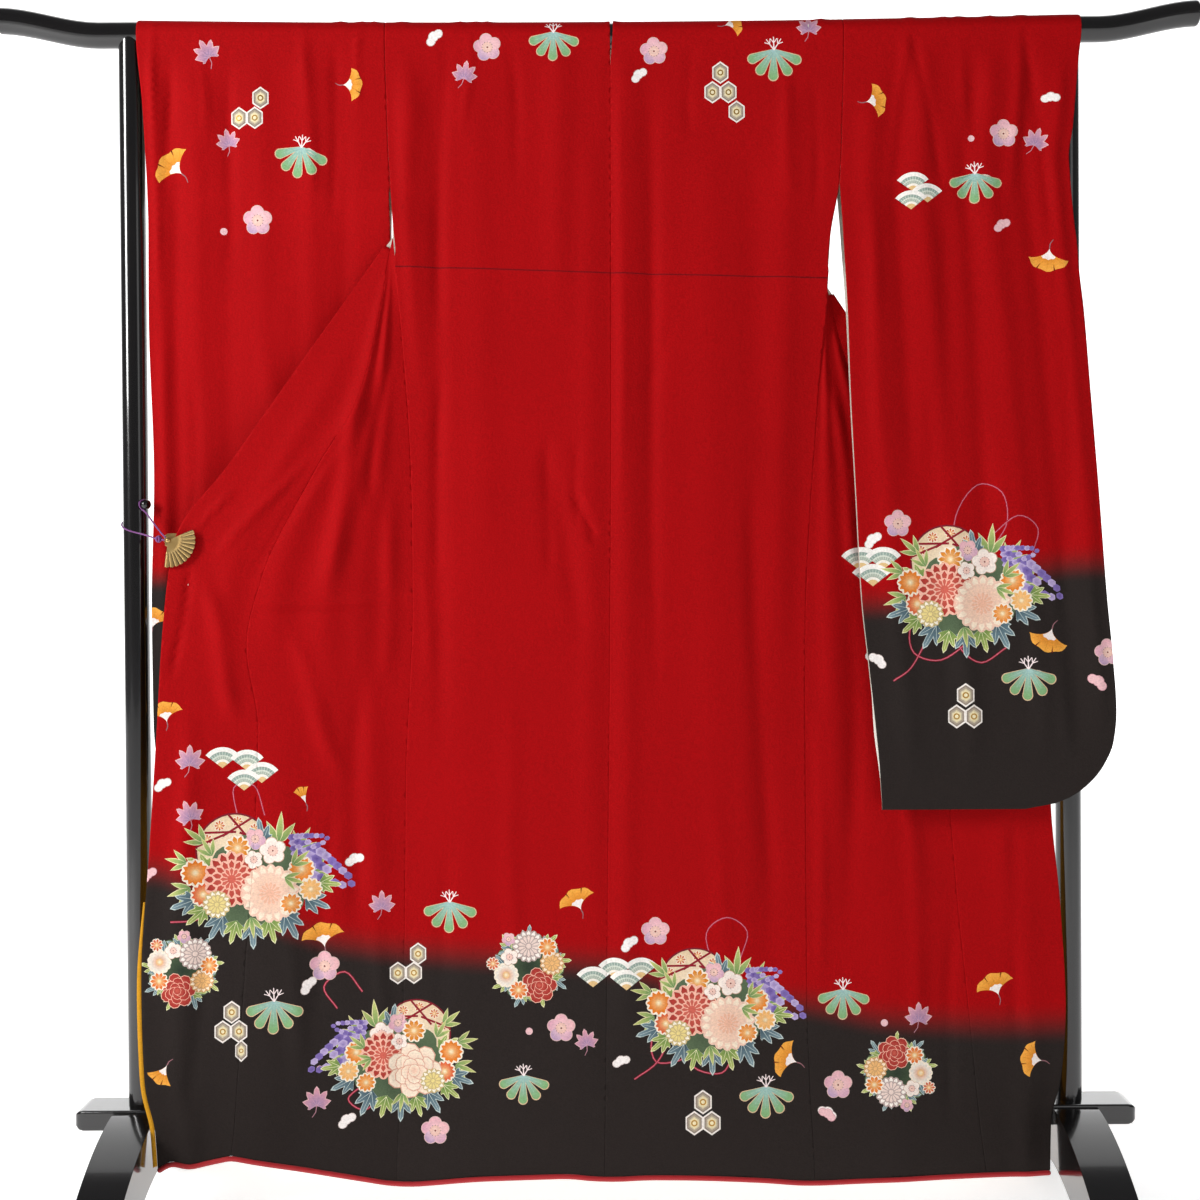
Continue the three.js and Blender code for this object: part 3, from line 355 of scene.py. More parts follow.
# u_top u_low z_top z_low width forward
SLEEVE_FOLDS = {
    -1: [[0.965, 0.96, 1620, 700, 0.035, 2.6], [0.88, 0.9, 1600, 700, 0.03, -2.2],
         [0.79, 0.8, 1620, 800, 0.04, 2.0], [0.66, 0.68, 1600, 900, 0.05, -2.2],
         [0.52, 0.55, 1620, 700, 0.05, 1.8], [0.34, 0.3, 1630, 800, 0.05, 2.4],
         [0.18, 0.2, 1620, 1100, 0.04, -2.0], [0.44, 0.5, 1300, 620, 0.07, 2.0]],
    1: [[0.93, 0.94, 1600, 700, 0.04, 4.0], [0.80, 0.84, 1600, 650, 0.04, -3.0],
        [0.62, 0.70, 1620, 640, 0.05, 3.4], [0.56, 0.52, 1600, 900, 0.04, -2.8],
        [0.34, 0.40, 1620, 620, 0.05, 3.6], [0.24, 0.24, 1620, 1000, 0.04, -3.0],
        [0.12, 0.14, 1560, 620, 0.05, 3.4], [0.45, 0.30, 1400, 700, 0.05, -2.4]],
}
SLEEVE_LOW = {-1: 566, 1: 568}


def sleeve_edges(hand, rear, z):
    sewn = smooth(1424, 1426, z)
    inner = lerp(SLEEVE[hand].read("xin", z), side(hand, z)[0] + hand * SEAM, sewn)
    return inner, SLEEVE[hand].read("xback" if rear else "xout", z)


def sleeve_y(hand, rear, x, z):
    table = SLEEVE[hand]
    inner, outer = sleeve_edges(hand, rear, z)
    u = (x - inner) / (outer - inner)
    sewn = smooth(1424, 1426, z)
    forward = 0
    for u_top, u_low, z_top, z_low, width, height in SLEEVE_FOLDS[hand]:
        middle = lerp(u_top, u_low, np.clip((z_top - z) / (z_top - z_low), 0, 1))
        run = smooth(z_top + 15, z_top - 60, z) * smooth(z_low - 60, z_low + 100, z)
        forward = forward + height * bell(u, middle, width) * run
    forward = forward * smooth(0, 0.07, u) * smooth(1, 0.93, u)
    if rear:
        y = lerp(table.read("rin", z), table.read("rout", z), smooth(0.45, 1, u))
        return y - forward * (0.5 if hand < 0 else 0.55) * smooth(1640, 1500, z)
    y = lerp(lerp(table.read("fin", z), side(hand, z)[1], sewn), table.read("fout", z), u)
    return y - forward * (1.0 if hand < 0 else 1.1)


print("sleeves hang", round(float(bar_z(450)) - SLEEVE_LOW[-1]), "mm below the bar")

# %% [markdown]
# ## Finer creases
# Between the large folds the silk keeps small soft creases: short ones below the bar, long ones
# down the panels, and slanting ones where the cloth is drawn to the clip. Each is a stretched
# bump given one by one in a list, and no two are alike.

# %% Creases listed one by one
# from x z, to x z, width, forward
CREASES = {
    "back": [
        [-264, 1600, -256, 1430, 13, 1.4], [-212, 1610, -222, 1230, 9, -1.3],
        [-217, 1180, -231, 900, 8, -1.3], [-176, 1630, -186, 1500, 7, 1.0],
        [-120, 1625, -112, 1440, 8, -0.9], [-72, 1080, -76, 900, 9, -1.3],
        [-33, 1000, -10, 935, 6, -1.5], [-36, 1070, -33, 960, 7, -1.1],
        [30, 1560, 26, 980, 8, 1.2], [70, 1500, 74, 760, 9, -1.2], [204, 1030, 226, 440, 12, -1.6],
        [128, 1610, 122, 1490, 8, -0.8], [252, 1600, 262, 1420, 9, 1.1],
        [300, 1560, 296, 1380, 7, -0.8], [-130, 700, -118, 300, 14, 1.2],
        [150, 620, 168, 240, 15, 1.1], [-210, 520, -232, 200, 12, -1.1],
        [-246, 900, -236, 760, 8, 0.8], [100, 1240, 60, 1130, 10, -0.6]],
    "front_left": [
        [-323, 1150, -379, 880, 13, 3.0], [-470, 846, -275, 862, 7, -1.6],
        [-350, 1090, -470, 905, 7, -1.4], [-300, 1180, -318, 1000, 8, -1.6],
        [-395, 1060, -520, 925, 7, 1.6], [-285, 1010, -300, 760, 11, 1.6],
        [-420, 800, -360, 620, 13, 1.8], [-540, 880, -500, 700, 12, 1.8],
        [-330, 760, -345, 420, 14, -1.6], [-560, 700, -580, 420, 13, 1.4],
        [-430, 560, -420, 200, 14, 1.4], [-540, 420, -560, 170, 12, -1.3],
        [-310, 420, -300, 160, 11, 1.0], [-560, 905, -585, 760, 6, -1.3],
        [-500, 1010, -560, 950, 5, 1.2], [-375, 560, -392, 300, 9, -1.0]],
    "front_right": [
        [320, 1150, 350, 900, 9, 1.6], [345, 820, 340, 420, 13, -1.4],
        [420, 640, 432, 260, 13, 1.6], [560, 560, 572, 220, 12, -1.4],
        [300, 700, 296, 330, 9, 1.0], [480, 420, 470, 150, 9, -1.0]],
    "sleeve_left": [
        [-612, 1640, -614, 1300, 6, 1.4], [-590, 1600, -596, 1420, 7, -1.3],
        [-548, 1630, -540, 1480, 8, 1.0], [-505, 1600, -512, 1330, 9, -1.2],
        [-404, 1640, -396, 1420, 8, 1.2], [-360, 1610, -370, 1380, 7, -1.1],
        [-330, 1640, -334, 1540, 5, 0.9], [-600, 1250, -606, 860, 9, 1.0],
        [-460, 1230, -440, 900, 14, 1.1], [-560, 1180, -566, 930, 10, -0.9]],
    "sleeve_right": [
        [430, 1650, 396, 1430, 8, 1.6], [432, 1640, 470, 1420, 7, -1.2],
        [583, 1650, 560, 1400, 8, 1.5], [584, 1640, 622, 1350, 8, -1.3], [500, 1620, 512, 1380, 8, 1.0],
        [660, 1300, 676, 900, 9, 1.5], [640, 1240, 630, 820, 11, -1.2], [372, 1400, 380, 1060, 9, 1.1],
        [540, 1100, 560, 700, 14, 1.1], [452, 1180, 430, 760, 14, -1.0], [610, 800, 640, 640, 10, 0.9]],
}
REAR_CREASES = {
    -1: [[-590, 1600, -580, 1200, 10, 1.2], [-500, 1610, -512, 1350, 9, -1.0],
         [-400, 1600, -392, 1250, 11, 1.1], [-450, 1150, -440, 760, 13, 1.0],
         [-560, 1050, -572, 700, 11, -0.9], [-350, 1450, -346, 1000, 9, 0.9]],
    1: [[380, 1600, 372, 1250, 10, 1.1], [470, 1610, 480, 1300, 11, -1.1],
        [560, 1600, 570, 1200, 10, 1.2], [430, 1100, 450, 740, 13, 1.0],
        [610, 1050, 628, 700, 11, -0.9], [520, 1250, 540, 900, 12, 0.9]],
}


CREASE_DEPTH = 1.7
FRONT_GAIN = 1.3                # the drawn front creases more deeply than the rest


def creases(table, x, s):
    total = np.zeros(np.shape(x))
    for x0, z0, x1, z1, width, forward in table:
        dx, dz = x1 - x0, z1 - z0
        length = math.hypot(dx, dz)
        along = ((x - x0) * dx + (s - z0) * dz) / length**2
        away = ((x - x0) * dz - (s - z0) * dx) / length
        away = away + 0.3 * width * np.sin(5 * along + x0)
        swell = 1 + 0.25 * np.sin(9 * along + z0)
        run = smooth(-0.12, 0.2, along) * smooth(1.12, 0.8, along)
        total += CREASE_DEPTH * forward * swell * bell(away, 0, width) * run
    return total


print("creases by hand:", sum(len(t) for t in CREASES.values()))

# %% [markdown]
# ## From a flat pattern to the hanging cloth
# Every panel is drawn flat first, seen from the front: x along the bar, s up the cloth, and past
# the bar's middle s goes on round the bar. A lift function takes each flat point to its place in
# space. Printed shapes and panel edges stay true, because both are cut on the flat.

# %% Lift functions
QUARTER = CLOTH_RADIUS * np.pi / 2


def round_the_bar(x, s, flat_y, rear=False):
    """Places (x, s): below the bar's middle at depth flat_y, above it on the bar."""
    axis = bar_z(x)
    angle = np.clip((s - axis) / CLOTH_RADIUS, 0, np.pi / 2 + 0.1)
    hand_y = CLOTH_RADIUS if rear else -CLOTH_RADIUS
    z = np.minimum(s, axis)
    y = lerp(flat_y, hand_y, smooth(axis - 45, axis, z))
    up = over_bar(x, np.pi - angle if rear else angle)
    return np.where((angle > 0)[..., None], up, np.stack([x, y, z], -1)), angle


def lift_back(hand):
    def lift(x, s):
        p, angle = round_the_bar(x, s, back_y(hand, x, np.minimum(s, bar_z(x))))
        fade = smooth(0, 18, np.abs(x - side(hand, np.minimum(s, 1640))[0])) * smooth(1.2, 0.5, angle)
        push = creases(CREASES["back"], x, s) * fade
        p[..., 1] -= push * np.cos(angle)
        p[..., 2] += push * np.sin(angle)
        return p
    return lift


def lift_sleeve(hand, rear):
    table = REAR_CREASES[hand] if rear else CREASES["sleeve_" + HAND_NAME[hand]]

    def lift(x, s):
        z = np.minimum(s, bar_z(x))
        p, angle = round_the_bar(x, s, sleeve_y(hand, rear, x, z), rear)
        inner, outer = sleeve_edges(hand, rear, z)
        edge = np.minimum(np.abs(x - inner), np.abs(x - outer))
        push = creases(table, x, s) * smooth(0, 14, edge) * smooth(1.3, 0.6, angle)
        push = push * smooth(SLEEVE_LOW[hand], SLEEVE_LOW[hand] + 90, s)
        p[..., 1] += (push if rear else -push) * np.cos(angle)
        p[..., 2] += push * np.sin(angle)
        return p
    return lift


class FrontFinder:
    """Finds the section row and share of a front panel that lie at (x, z)."""

    def __init__(self, hand):
        self.hand = hand
        rows = np.arange(THROAT[hand] - 0.4, LAST[hand] + 1e-9, 0.05)
        row, u = np.meshgrid(rows, np.linspace(-0.03, 1.03, 54), indexing="ij")
        p = front_at(hand, row, u).reshape(-1, 3)
        self.start = np.stack([row.ravel(), u.ravel()], -1)
        self.tree = KDTree(len(p))
        for i, q in enumerate(p):
            self.tree.insert((q[0], q[2], 0), i)
        self.tree.balance()

    def find(self, x, z):
        near = [self.tree.find((a, b, 0))[1] for a, b in zip(x, z)]
        row, u = self.start[near].T.copy()
        for _ in range(7):
            p = front_at(self.hand, row, u)
            dr = np.where(row > 10, -1e-3, 1e-3)
            du = np.where(u > K_SHARE, 1e-4, -1e-4)
            by_row = (front_at(self.hand, row + dr, u) - p) / dr[:, None]
            by_u = (front_at(self.hand, row, u + du) - p) / du[:, None]
            miss_x, miss_z = x - p[:, 0], z - p[:, 2]
            area = by_row[:, 0] * by_u[:, 2] - by_u[:, 0] * by_row[:, 2]
            area = np.where(np.abs(area) < 1, 1, area)
            row = row + np.clip((miss_x * by_u[:, 2] - miss_z * by_u[:, 0]) / area, -0.3, 0.3)
            u = u + np.clip((miss_z * by_row[:, 0] - miss_x * by_row[:, 2]) / area, -0.05, 0.05)
            row = np.clip(row, THROAT[self.hand] - 0.5, LAST[self.hand])
            u = np.clip(u, -0.05, 1.05)
        return front_at(self.hand, row, u)


FINDERS = {hand: FrontFinder(hand) for hand in (-1, 1)}


def lift_front(hand):
    table = CREASES["front_" + HAND_NAME[hand]]

    def lift(x, z):
        p = FINDERS[hand].find(x, z)
        off = np.hypot(p[:, 0] - x, p[:, 2] - z)
        lift.worst = max(lift.worst, float(off.max()))
        p[:, 0], p[:, 2] = x, z
        fade = smooth(0, 16, np.abs(x - side(hand, z)[0])) * smooth(1330, 1200, z)
        p[:, 1] -= FRONT_GAIN * creases(table, x, z) * fade * smooth(60, 150, z)
        return p
    lift.worst = 0.0
    return lift


print("front panels have a finder with", len(FINDERS[-1].start), "starting points")

# %% [markdown]
# ## Colours and printed shapes
# The silk is dip-dyed: red above, near-black below, with a soft line between. On it lie painted
# flowers and lucky patterns. Each printed shape is a flat outline with a colour that may change
# from its centre outwards. Later shapes cover earlier ones. A fourth channel marks gold leaf.

# %% Dye and print
def dye(text):
    """A colour written as red, green and blue in hexadecimal, as the shader wants it."""
    c = np.array([int(text[i:i + 2], 16) for i in (1, 3, 5)]) / 255
    return np.where(c <= 0.04045, c / 12.92, ((c + 0.055) / 1.055) ** 2.4)


BODY_RED, COLLAR_RED = "#a3060b", "#b3101a"
RED, BLACK = dye(BODY_RED), dye("#2b2523")
DYE_LINE = {
    "body": Table("x z", [
        [-621, 497], [-507, 448], [-357, 392], [-222, 374], [-3, 360], [189, 308], [262, 304],
        [383, 281], [562, 271]]),
    "sleeve_left": Table("x z", [[-640, 891], [-290, 880]]),
    "sleeve_right": Table("x z", [[365, 850], [665, 905]]),
}
DYE_SOFT = {"body": 30, "sleeve_left": 20, "sleeve_right": 27}


def dyed(piece):
    line, soft = DYE_LINE[piece], DYE_SOFT[piece]

    def colour(p):
        t = smooth(-soft, soft, p[..., 1] - line.read("z", p[..., 0]))[..., None]
        rgb = BLACK + (RED - BLACK) * t
        return np.concatenate([rgb, np.zeros_like(t)], -1)
    return colour


class Print:
    """Painted shapes in the order in which they are laid down."""

    def __init__(self):
        self.shapes = []

    def lay(self, points, inner, outer=None, centre=None, reach=1.0, gold=0.0):
        points = np.asarray(points, float)
        if np.cross(points, np.roll(points, -1, axis=0)).sum() < 0:
            points = points[::-1]
        self.shapes.append({
            "points": points, "low": points.min(0), "high": points.max(0), "inner": dye(inner),
            "outer": dye(outer or inner), "centre": points.mean(0) if centre is None else centre,
            "reach": reach, "gold": gold})


def painted(shape, p):
    t = np.clip(np.linalg.norm(p - shape["centre"], axis=-1) / shape["reach"], 0, 1)[..., None]
    rgb = shape["inner"] + (shape["outer"] - shape["inner"]) * t
    return np.concatenate([rgb, np.full_like(t, shape["gold"])], -1)


FRONT_PRINT, REAR_PRINT = Print(), Print()
print("dye lines for", ", ".join(DYE_LINE))

# %% [markdown]
# ## The painted motifs
# Single motifs are the traditional ones: plum, maple, ginkgo, bamboo leaves, tortoiseshell
# hexagons, wave scales and small clouds. Each is a short function that lays flat shapes, largest
# first, so a rim is a shape with a slightly smaller one on it. Sizes are in millimetres.

# %% Drawing tools
def turned(points, degrees, at=(0, 0)):
    a = math.radians(degrees)
    x, y = np.asarray(points, float).T
    return np.stack([x * math.cos(a) - y * math.sin(a), x * math.sin(a) + y * math.cos(a)], -1) + at


def disc(radius, sides=12, wide=1.0):
    a = 2 * np.pi * np.arange(sides) / sides
    return np.stack([radius * wide * np.cos(a), radius * np.sin(a)], -1)


def rosette(count, radius, petal, turn, at, per=4):
    """Outline of a ring of round petals; petal is the radius of each, per its points."""
    a = np.arange(count * per) / (count * per) * 2 * np.pi
    off = (a + np.pi / count) % (2 * np.pi / count) - np.pi / count
    d = radius - petal
    r = d * np.cos(off) + np.sqrt(np.maximum(petal**2 - (d * np.sin(off)) ** 2, 0))
    a = a + math.radians(turn)
    return np.stack([r * np.cos(a), r * np.sin(a)], -1) + at


def lobed(tips, reach, turn, at, notch, blunt):
    """Outline of a leaf of several lobes; tips are (angle, share of the reach).

    The notches lie at a share of the reach, and each tip is blunt by some degrees.
    """
    points = []
    for i, (a, far) in enumerate(tips):
        for da, share in ((-blunt, 0.84), (0, 1.0), (blunt, 0.84)):
            points.append(heading(turn + a + da, share * far * reach, at))
        if i < len(tips) - 1:
            points.append(heading(turn + (a + tips[i + 1][0]) / 2, notch * reach, at))
    return np.array(points + [heading(turn + 180, 0.06 * reach, at)])


def blade(length, width):
    """A leaf from the origin along +x, pointed at both ends and broadest before its middle."""
    t = np.linspace(0, 1, 5)
    half = width / 2 * np.sin(np.pi * t**0.8)
    upper = np.stack([length * t, half], -1)
    return np.concatenate([upper, np.stack([length * t, -half], -1)[-2:0:-1]])


def lobe(length, width, sides=8):
    """A petal from the origin along +x with a round end."""
    a = np.linspace(-0.62 * np.pi, 0.62 * np.pi, sides)
    r = width / 2
    arc = np.stack([length - r + r * np.cos(a), r * np.sin(a)], -1)
    return np.concatenate([[(0, -0.12 * width)], arc, [(0, 0.12 * width)]])


def heading(degrees, distance, at=(0, 0)):
    a = math.radians(degrees)
    return np.array(at, float) + distance * np.array([math.cos(a), math.sin(a)])


def stroke(art, path, width, colour, end_width=None):
    """A painted line, laid as short pieces so that it may cross itself."""
    path = np.asarray(path, float)
    widths = np.linspace(width, width if end_width is None else end_width, len(path)) / 2
    run = np.gradient(path, axis=0)
    run /= np.linalg.norm(run, axis=1, keepdims=True)
    off = np.stack([-run[:, 1], run[:, 0]], -1) * widths[:, None]
    for i in range(len(path) - 1):
        art.lay([path[i] + off[i], path[i] - off[i], path[i + 1] - off[i + 1],
                 path[i + 1] + off[i + 1]], colour)


def curve(points, steps):
    """A smooth line through a few points."""
    p = np.asarray(points, float)
    p = np.concatenate([[2 * p[0] - p[1]], p, [2 * p[-1] - p[-2]]])
    out = []
    for a, b, c, d in zip(p[:-3], p[1:-2], p[2:-1], p[3:]):
        for t in np.arange(steps) / steps:
            out.append(0.5 * (2 * b + (c - a) * t + (2 * a - 5 * b + 4 * c - d) * t * t
                              + (3 * b - a - 3 * c + d) * t**3))
    return np.array(out + [p[-2]])


print("drawing tools ready")

# %% Small motifs
PETAL_ENDS = ["#e6aeb9", "#d99fb4", "#b295bb", "#cfa0b8", "#e8b3b8"]


def plum(art, x, z, size, turn, white=False):
    r, at = size / 2, np.array([x, z])
    rim, heart = ("#caa38c", "#f3d9cf") if white else ("#dcb8b2", "#eec5c6")
    art.lay(rosette(5, r, 0.46 * r, 90 + turn, at, 8), rim)
    for k in range(5):
        middle = heading(90 + 72 * k + turn, 0.53 * r, at)
        end = "#f6ede2" if white else PETAL_ENDS[k]
        art.lay(disc(0.42 * r, 12) + middle, heart, end, at, r)
    art.lay(disc(0.38 * r) + at, "#f0cfc0", "#e6b9ac", at, 0.4 * r)
    for a in range(0, 360, 30):
        art.lay(turned([(-0.8, -0.5), (0.8, 0), (-0.8, 0.5)], a, heading(a, 0.39 * r, at)), "#402a31")
    art.lay(disc(0.07 * r, 6) + at, "#7c3a3a")


MAPLE_TIPS = [(-118, 0.62), (-78, 0.86), (-38, 0.98), (0, 1.08), (38, 0.98), (78, 0.86), (118, 0.62)]


def maple(art, x, z, size, turn):
    r, at = size / 2, np.array([x, z])
    up = 90 + turn
    art.lay(lobed(MAPLE_TIPS, 1.04 * r, up, at, 0.60, 9), "#e0b4b6")
    art.lay(lobed(MAPLE_TIPS, 0.97 * r, up, at, 0.56, 8.5), "#9480a6", "#dd9ca8", at, r)
    for a, reach in MAPLE_TIPS:
        stroke(art, [heading(up + 180, 0.1 * r, at), heading(up + a, 0.75 * reach * r, at)],
               0.8, "#c79aae", 0.4)
    stroke(art, [heading(up + 180, 0.05 * r, at), heading(up + 172, 0.5 * r, at),
                 heading(up + 160, 0.85 * r, at)], 1.2, "#b98793", 0.8)


def ginkgo(art, x, z, size, turn, spread=62):
    """A fan-shaped leaf; turn is the way the fan opens, in degrees from +x."""
    reach = 0.6 * size
    base = heading(turn + 180, 0.42 * reach, (x, z))

    def at(a, r):
        return heading(turn + a, r * reach, base)
    edge = [at(a, 1 + 0.035 * math.sin(9 * math.radians(a) + 1))
            for a in np.linspace(-spread, spread, 15)]
    side_r = np.linspace(0.86, 0.12, 6)
    upper = [at(spread * r**0.5, r) for r in side_r]
    lower = [at(-spread * r**0.5, r) for r in side_r[::-1]]
    art.lay(np.array(edge + upper + [base] + lower), "#c8640a", "#f3ab48", base, reach)
    for a in (-0.42 * spread, 0.3 * spread):
        art.lay([at(a - 1.6, 1.01), at(a + 2.2, 1.01), at(a + 1, 0.72)], "#6a1f10")
    for a in np.linspace(-0.75, 0.75, 5) * spread:
        stroke(art, [at(a * 0.8, 0.5), at(a, 0.93)], 0.6, "#d98a25", 0.4)
    near = np.linspace(0.44, 0.1, 4)
    wedge = [at(a, 0.47 + 0.04 * (i % 2))
             for i, a in enumerate(np.linspace(-0.66, 0.66, 7) * spread)]
    wedge += [at(0.94 * spread * r**0.5, r) for r in near] + [base]
    wedge += [at(-0.94 * spread * r**0.5, r) for r in near[::-1]]
    art.lay(wedge, "#f7eee9", "#efe0da", base, reach)
    tail = [base, at(180, 0.2), heading(turn + 165, 0.42 * reach, base)]
    stroke(art, curve(tail, 4), 1.7, "#93666c", 1.0)


def bamboo_leaf(art, x, z, size, turn):
    """Five broad leaves hanging from one point, with coral-like twigs above it."""
    base = np.array([x, z + 0.18 * size])
    leaves = [(-158, 0.50), (-124, 0.52), (-92, 0.55), (-58, 0.53), (-24, 0.52)]
    for a, reach in leaves:
        art.lay(turned(lobe(reach * size + 1.4, 0.195 * size, 9), a + turn, base), "#dcb995")
    for a, reach in leaves:
        art.lay(turned(lobe(reach * size, 0.165 * size, 9), a + turn, base),
                "#9dbfc0", "#84b07a", base, 0.46 * size)
        stroke(art, [base, heading(a + turn, 0.38 * size, base)], 0.7, "#a9c9b4", 0.3)
    for a in (58, 92, 126):
        tip = heading(a + turn, 0.24 * size, base)
        stroke(art, [base, tip], 1.8, "#f5e4e2", 1.2)
        for k in (-38, 38):
            root = heading(a + turn, 0.13 * size, base)
            stroke(art, [root, heading(a + turn + k, 0.10 * size, root)], 1.4, "#f5e4e2", 1.0)


def hexagon(art, x, z, wide=22, tall=31):
    shape = np.array([(0, 0.5), (-0.5, 0.25), (-0.5, -0.25), (0, -0.5), (0.5, -0.25), (0.5, 0.25)])
    for scale, colour in [(1, "#eee6de"), (0.84, "#8d8073"), (0.72, "#a89b89"), (0.56, "#cfc2a4"),
                          (0.46, "#e6d8ae")]:
        art.lay(shape * (wide * scale, tall * scale) + (x, z), colour)
    art.lay(disc(0.19 * wide, 12) + (x, z), "#b98d3c", gold=1.0)
    art.lay(disc(0.11 * wide, 10) + (x, z), "#efe3bc")


def cloud(art, x, z, size, turn, pink=False):
    rim, body = ("#d9a0a8", "#eebfc2") if pink else ("#d8c8c2", "#f7f0ec")
    puffs = [(-0.28, -0.04, 0.2), (0, 0.05, 0.24), (0.28, -0.02, 0.2)]
    for grow, colour in ((0.9, rim), (0, body)):
        for dx, dz, r in puffs:
            puff = disc(r * size + grow, 12, 1.1) + (dx * size, dz * size)
            art.lay(turned(puff, turn, (x, z)), colour)


def wave_scale(art, x, z, size):
    """One scale of the wave pattern: bands about the point at its foot."""
    foot, reach = heading(270, 0.5 * size, (x, z)), 0.95 * size
    for scale, colour in [(1, "#f4efe8"), (0.78, "#94a79c"), (0.63, "#cfd6c8"), (0.56, "#a8b3a4"),
                          (0.42, "#f1ebdf"), (0.3, "#e0bd85")]:
        arc = [heading(a, reach * scale, foot) for a in np.linspace(38, 142, 12)]
        art.lay(arc + [foot], colour)
    for a in np.linspace(46, 134, 9):
        stroke(art, [heading(a, 0.45 * reach, foot), heading(a, 0.76 * reach, foot)], 0.5, "#dfe4d8")


def dot(art, x, z, size):
    art.lay(disc(size / 2, 12) + (x, z), "#f3d8d6", "#e6b7bb", (x, z), size / 2)


print("small motifs:", "plum, maple, ginkgo, bamboo leaf, hexagon, cloud, wave scale, dot")

# %% [markdown]
# ## Flower arrangements
# The large groups are arrangements of garden flowers: chrysanthemums, peonies and plum between
# dark and light leaves, with sprays of wisteria and looped crimson cords. They are built from the
# same few flowers, each ring of petals a little smaller and nearer the middle.

# %% Flowers and leaves
def mum(art, x, z, radius, inner, outer, rim="#f3dccb", petals=16, rings=3, turn=0):
    for ring in range(rings):
        far = radius * (1 - 0.29 * ring)
        count = max(8, petals - 2 * ring)
        wide = math.sin(math.pi / count) * 0.8 * far
        start_at = turn + 180 * (ring % 2) / count
        shade = blend_text(outer, inner, ring / max(1, rings - 1))
        art.lay(rosette(count, far, wide * 1.25, start_at, (x, z)), rim)
        for a in start_at + 360 * np.arange(count) / count:
            root = heading(a, 0.3 * far, (x, z))
            art.lay(turned(lobe(0.66 * far, 1.6 * wide, 3), a, root), inner, shade, (x, z), far)
    art.lay(disc(radius * 0.16, 8) + (x, z), inner)


def blend_text(a, b, t):
    pairs = [(int(a[i:i + 2], 16), int(b[i:i + 2], 16)) for i in (1, 3, 5)]
    return "#" + "".join(f"{int(round(lerp(p, q, t))):02x}" for p, q in pairs)


def small_mum(art, x, z, radius, petal, heart="#f2c48a", petals=12):
    art.lay(rosette(petals, radius, 0.27 * radius, 0, (x, z)), "#f4e6d2")
    for a in 360 * np.arange(petals) / petals:
        art.lay(turned(lobe(0.93 * radius, 0.38 * radius, 3), a, (x, z)), heart, petal, (x, z),
                0.7 * radius)
    art.lay(disc(0.28 * radius, 9) + (x, z), "#f6e9c8", "#e3a24c", (x, z), 0.34 * radius)


PEONY_RINGS = [(7, 0.60, 0.42), (6, 0.40, 0.36), (5, 0.20, 0.30), (1, 0, 0.24)]


def peony(art, x, z, radius, inner, outer, rim):
    for ring, (count, out, size) in enumerate(PEONY_RINGS):
        for k in range(count):
            a = 360 * k / count + 27 * ring
            shape = disc(size * radius, 9) * (1.0, 0.92)
            middle = heading(a, out * radius, (x, z))
            art.lay(turned(shape, a, middle), rim)
            art.lay(turned(shape * 0.9, a, middle), inner, outer, (x, z), (out + size) * radius)


LEAF_TIPS = [(-62, 0.5), (-31, 0.76), (0, 1.0), (31, 0.76), (62, 0.5)]


def leaf(art, x, z, length, turn, inner="#3f5560", outer="#7f98a0", vein="#c3d0cc"):
    """A cut leaf of five lobes with pale veins."""
    art.lay(lobed(LEAF_TIPS, length, turn, (x, z), 0.46, 7), vein)
    art.lay(lobed(LEAF_TIPS, 0.93 * length, turn, (x, z), 0.43, 6.5), inner, outer, (x, z), length)
    for a, reach in ((-31, 0.6), (0, 0.84), (31, 0.6)):
        stroke(art, [(x, z), heading(turn + a, reach * length, (x, z))], 0.8, vein, 0.4)


def spray(art, x, z, length, turn):
    """Three long pointed leaves."""
    for a, reach in ((-34, 0.8), (34, 0.8), (0, 1.0)):
        shape = blade(reach * length, 0.24 * length)
        art.lay(turned(shape, turn + a, (x, z)), "#e3d9a8")
        art.lay(turned(shape * (0.96, 0.74), turn + a, (x, z)), "#5f8a55", "#c9cf7a", (x, z), length)


def wisteria(art, x, z, length, turn):
    for i in range(8):
        part = i / 8
        half = 0.20 * length * (1 - 0.85 * part**1.4)
        count = max(1, round(4 * (1 - 0.75 * part)))
        r = 0.085 * length * (1 - 0.35 * part)
        for k in range(count):
            off = 0 if count == 1 else lerp(-half, half, k / (count - 1))
            spot = turned([(length * (0.1 + 0.92 * part), off)], turn, (x, z))[0]
            tone = ("#5d4a8f", "#8a76b8") if (i + k) % 2 else ("#8d79b4", "#c3b2d8")
            art.lay(turned(disc(r, 6, 1.2), turn, spot), *tone, spot, r)


def cord_loops(art, paths):
    """Looped silk cord, drawn as a dark line with a light core."""
    for path in paths:
        line = curve(path, 5)
        stroke(art, line, 2.6, "#a61f36")
        stroke(art, line, 0.8, "#cf7d8b")


print("flowers and leaves ready")

# %% Arrangements
BLUE_LEAF, GREEN_LEAF = ("#46606a", "#86a0a4", "#c3d0cc"), ("#5f8246", "#b6c26a", "#e6e3b4")
CORAL, DEEP_CORAL = "#cf6455", "#a12c28"
CREAM, PINK_CREAM = "#f7ead4", "#e9b49a"
ORANGE, WHITE_PETAL = "#e07a24", "#fbf6ee"


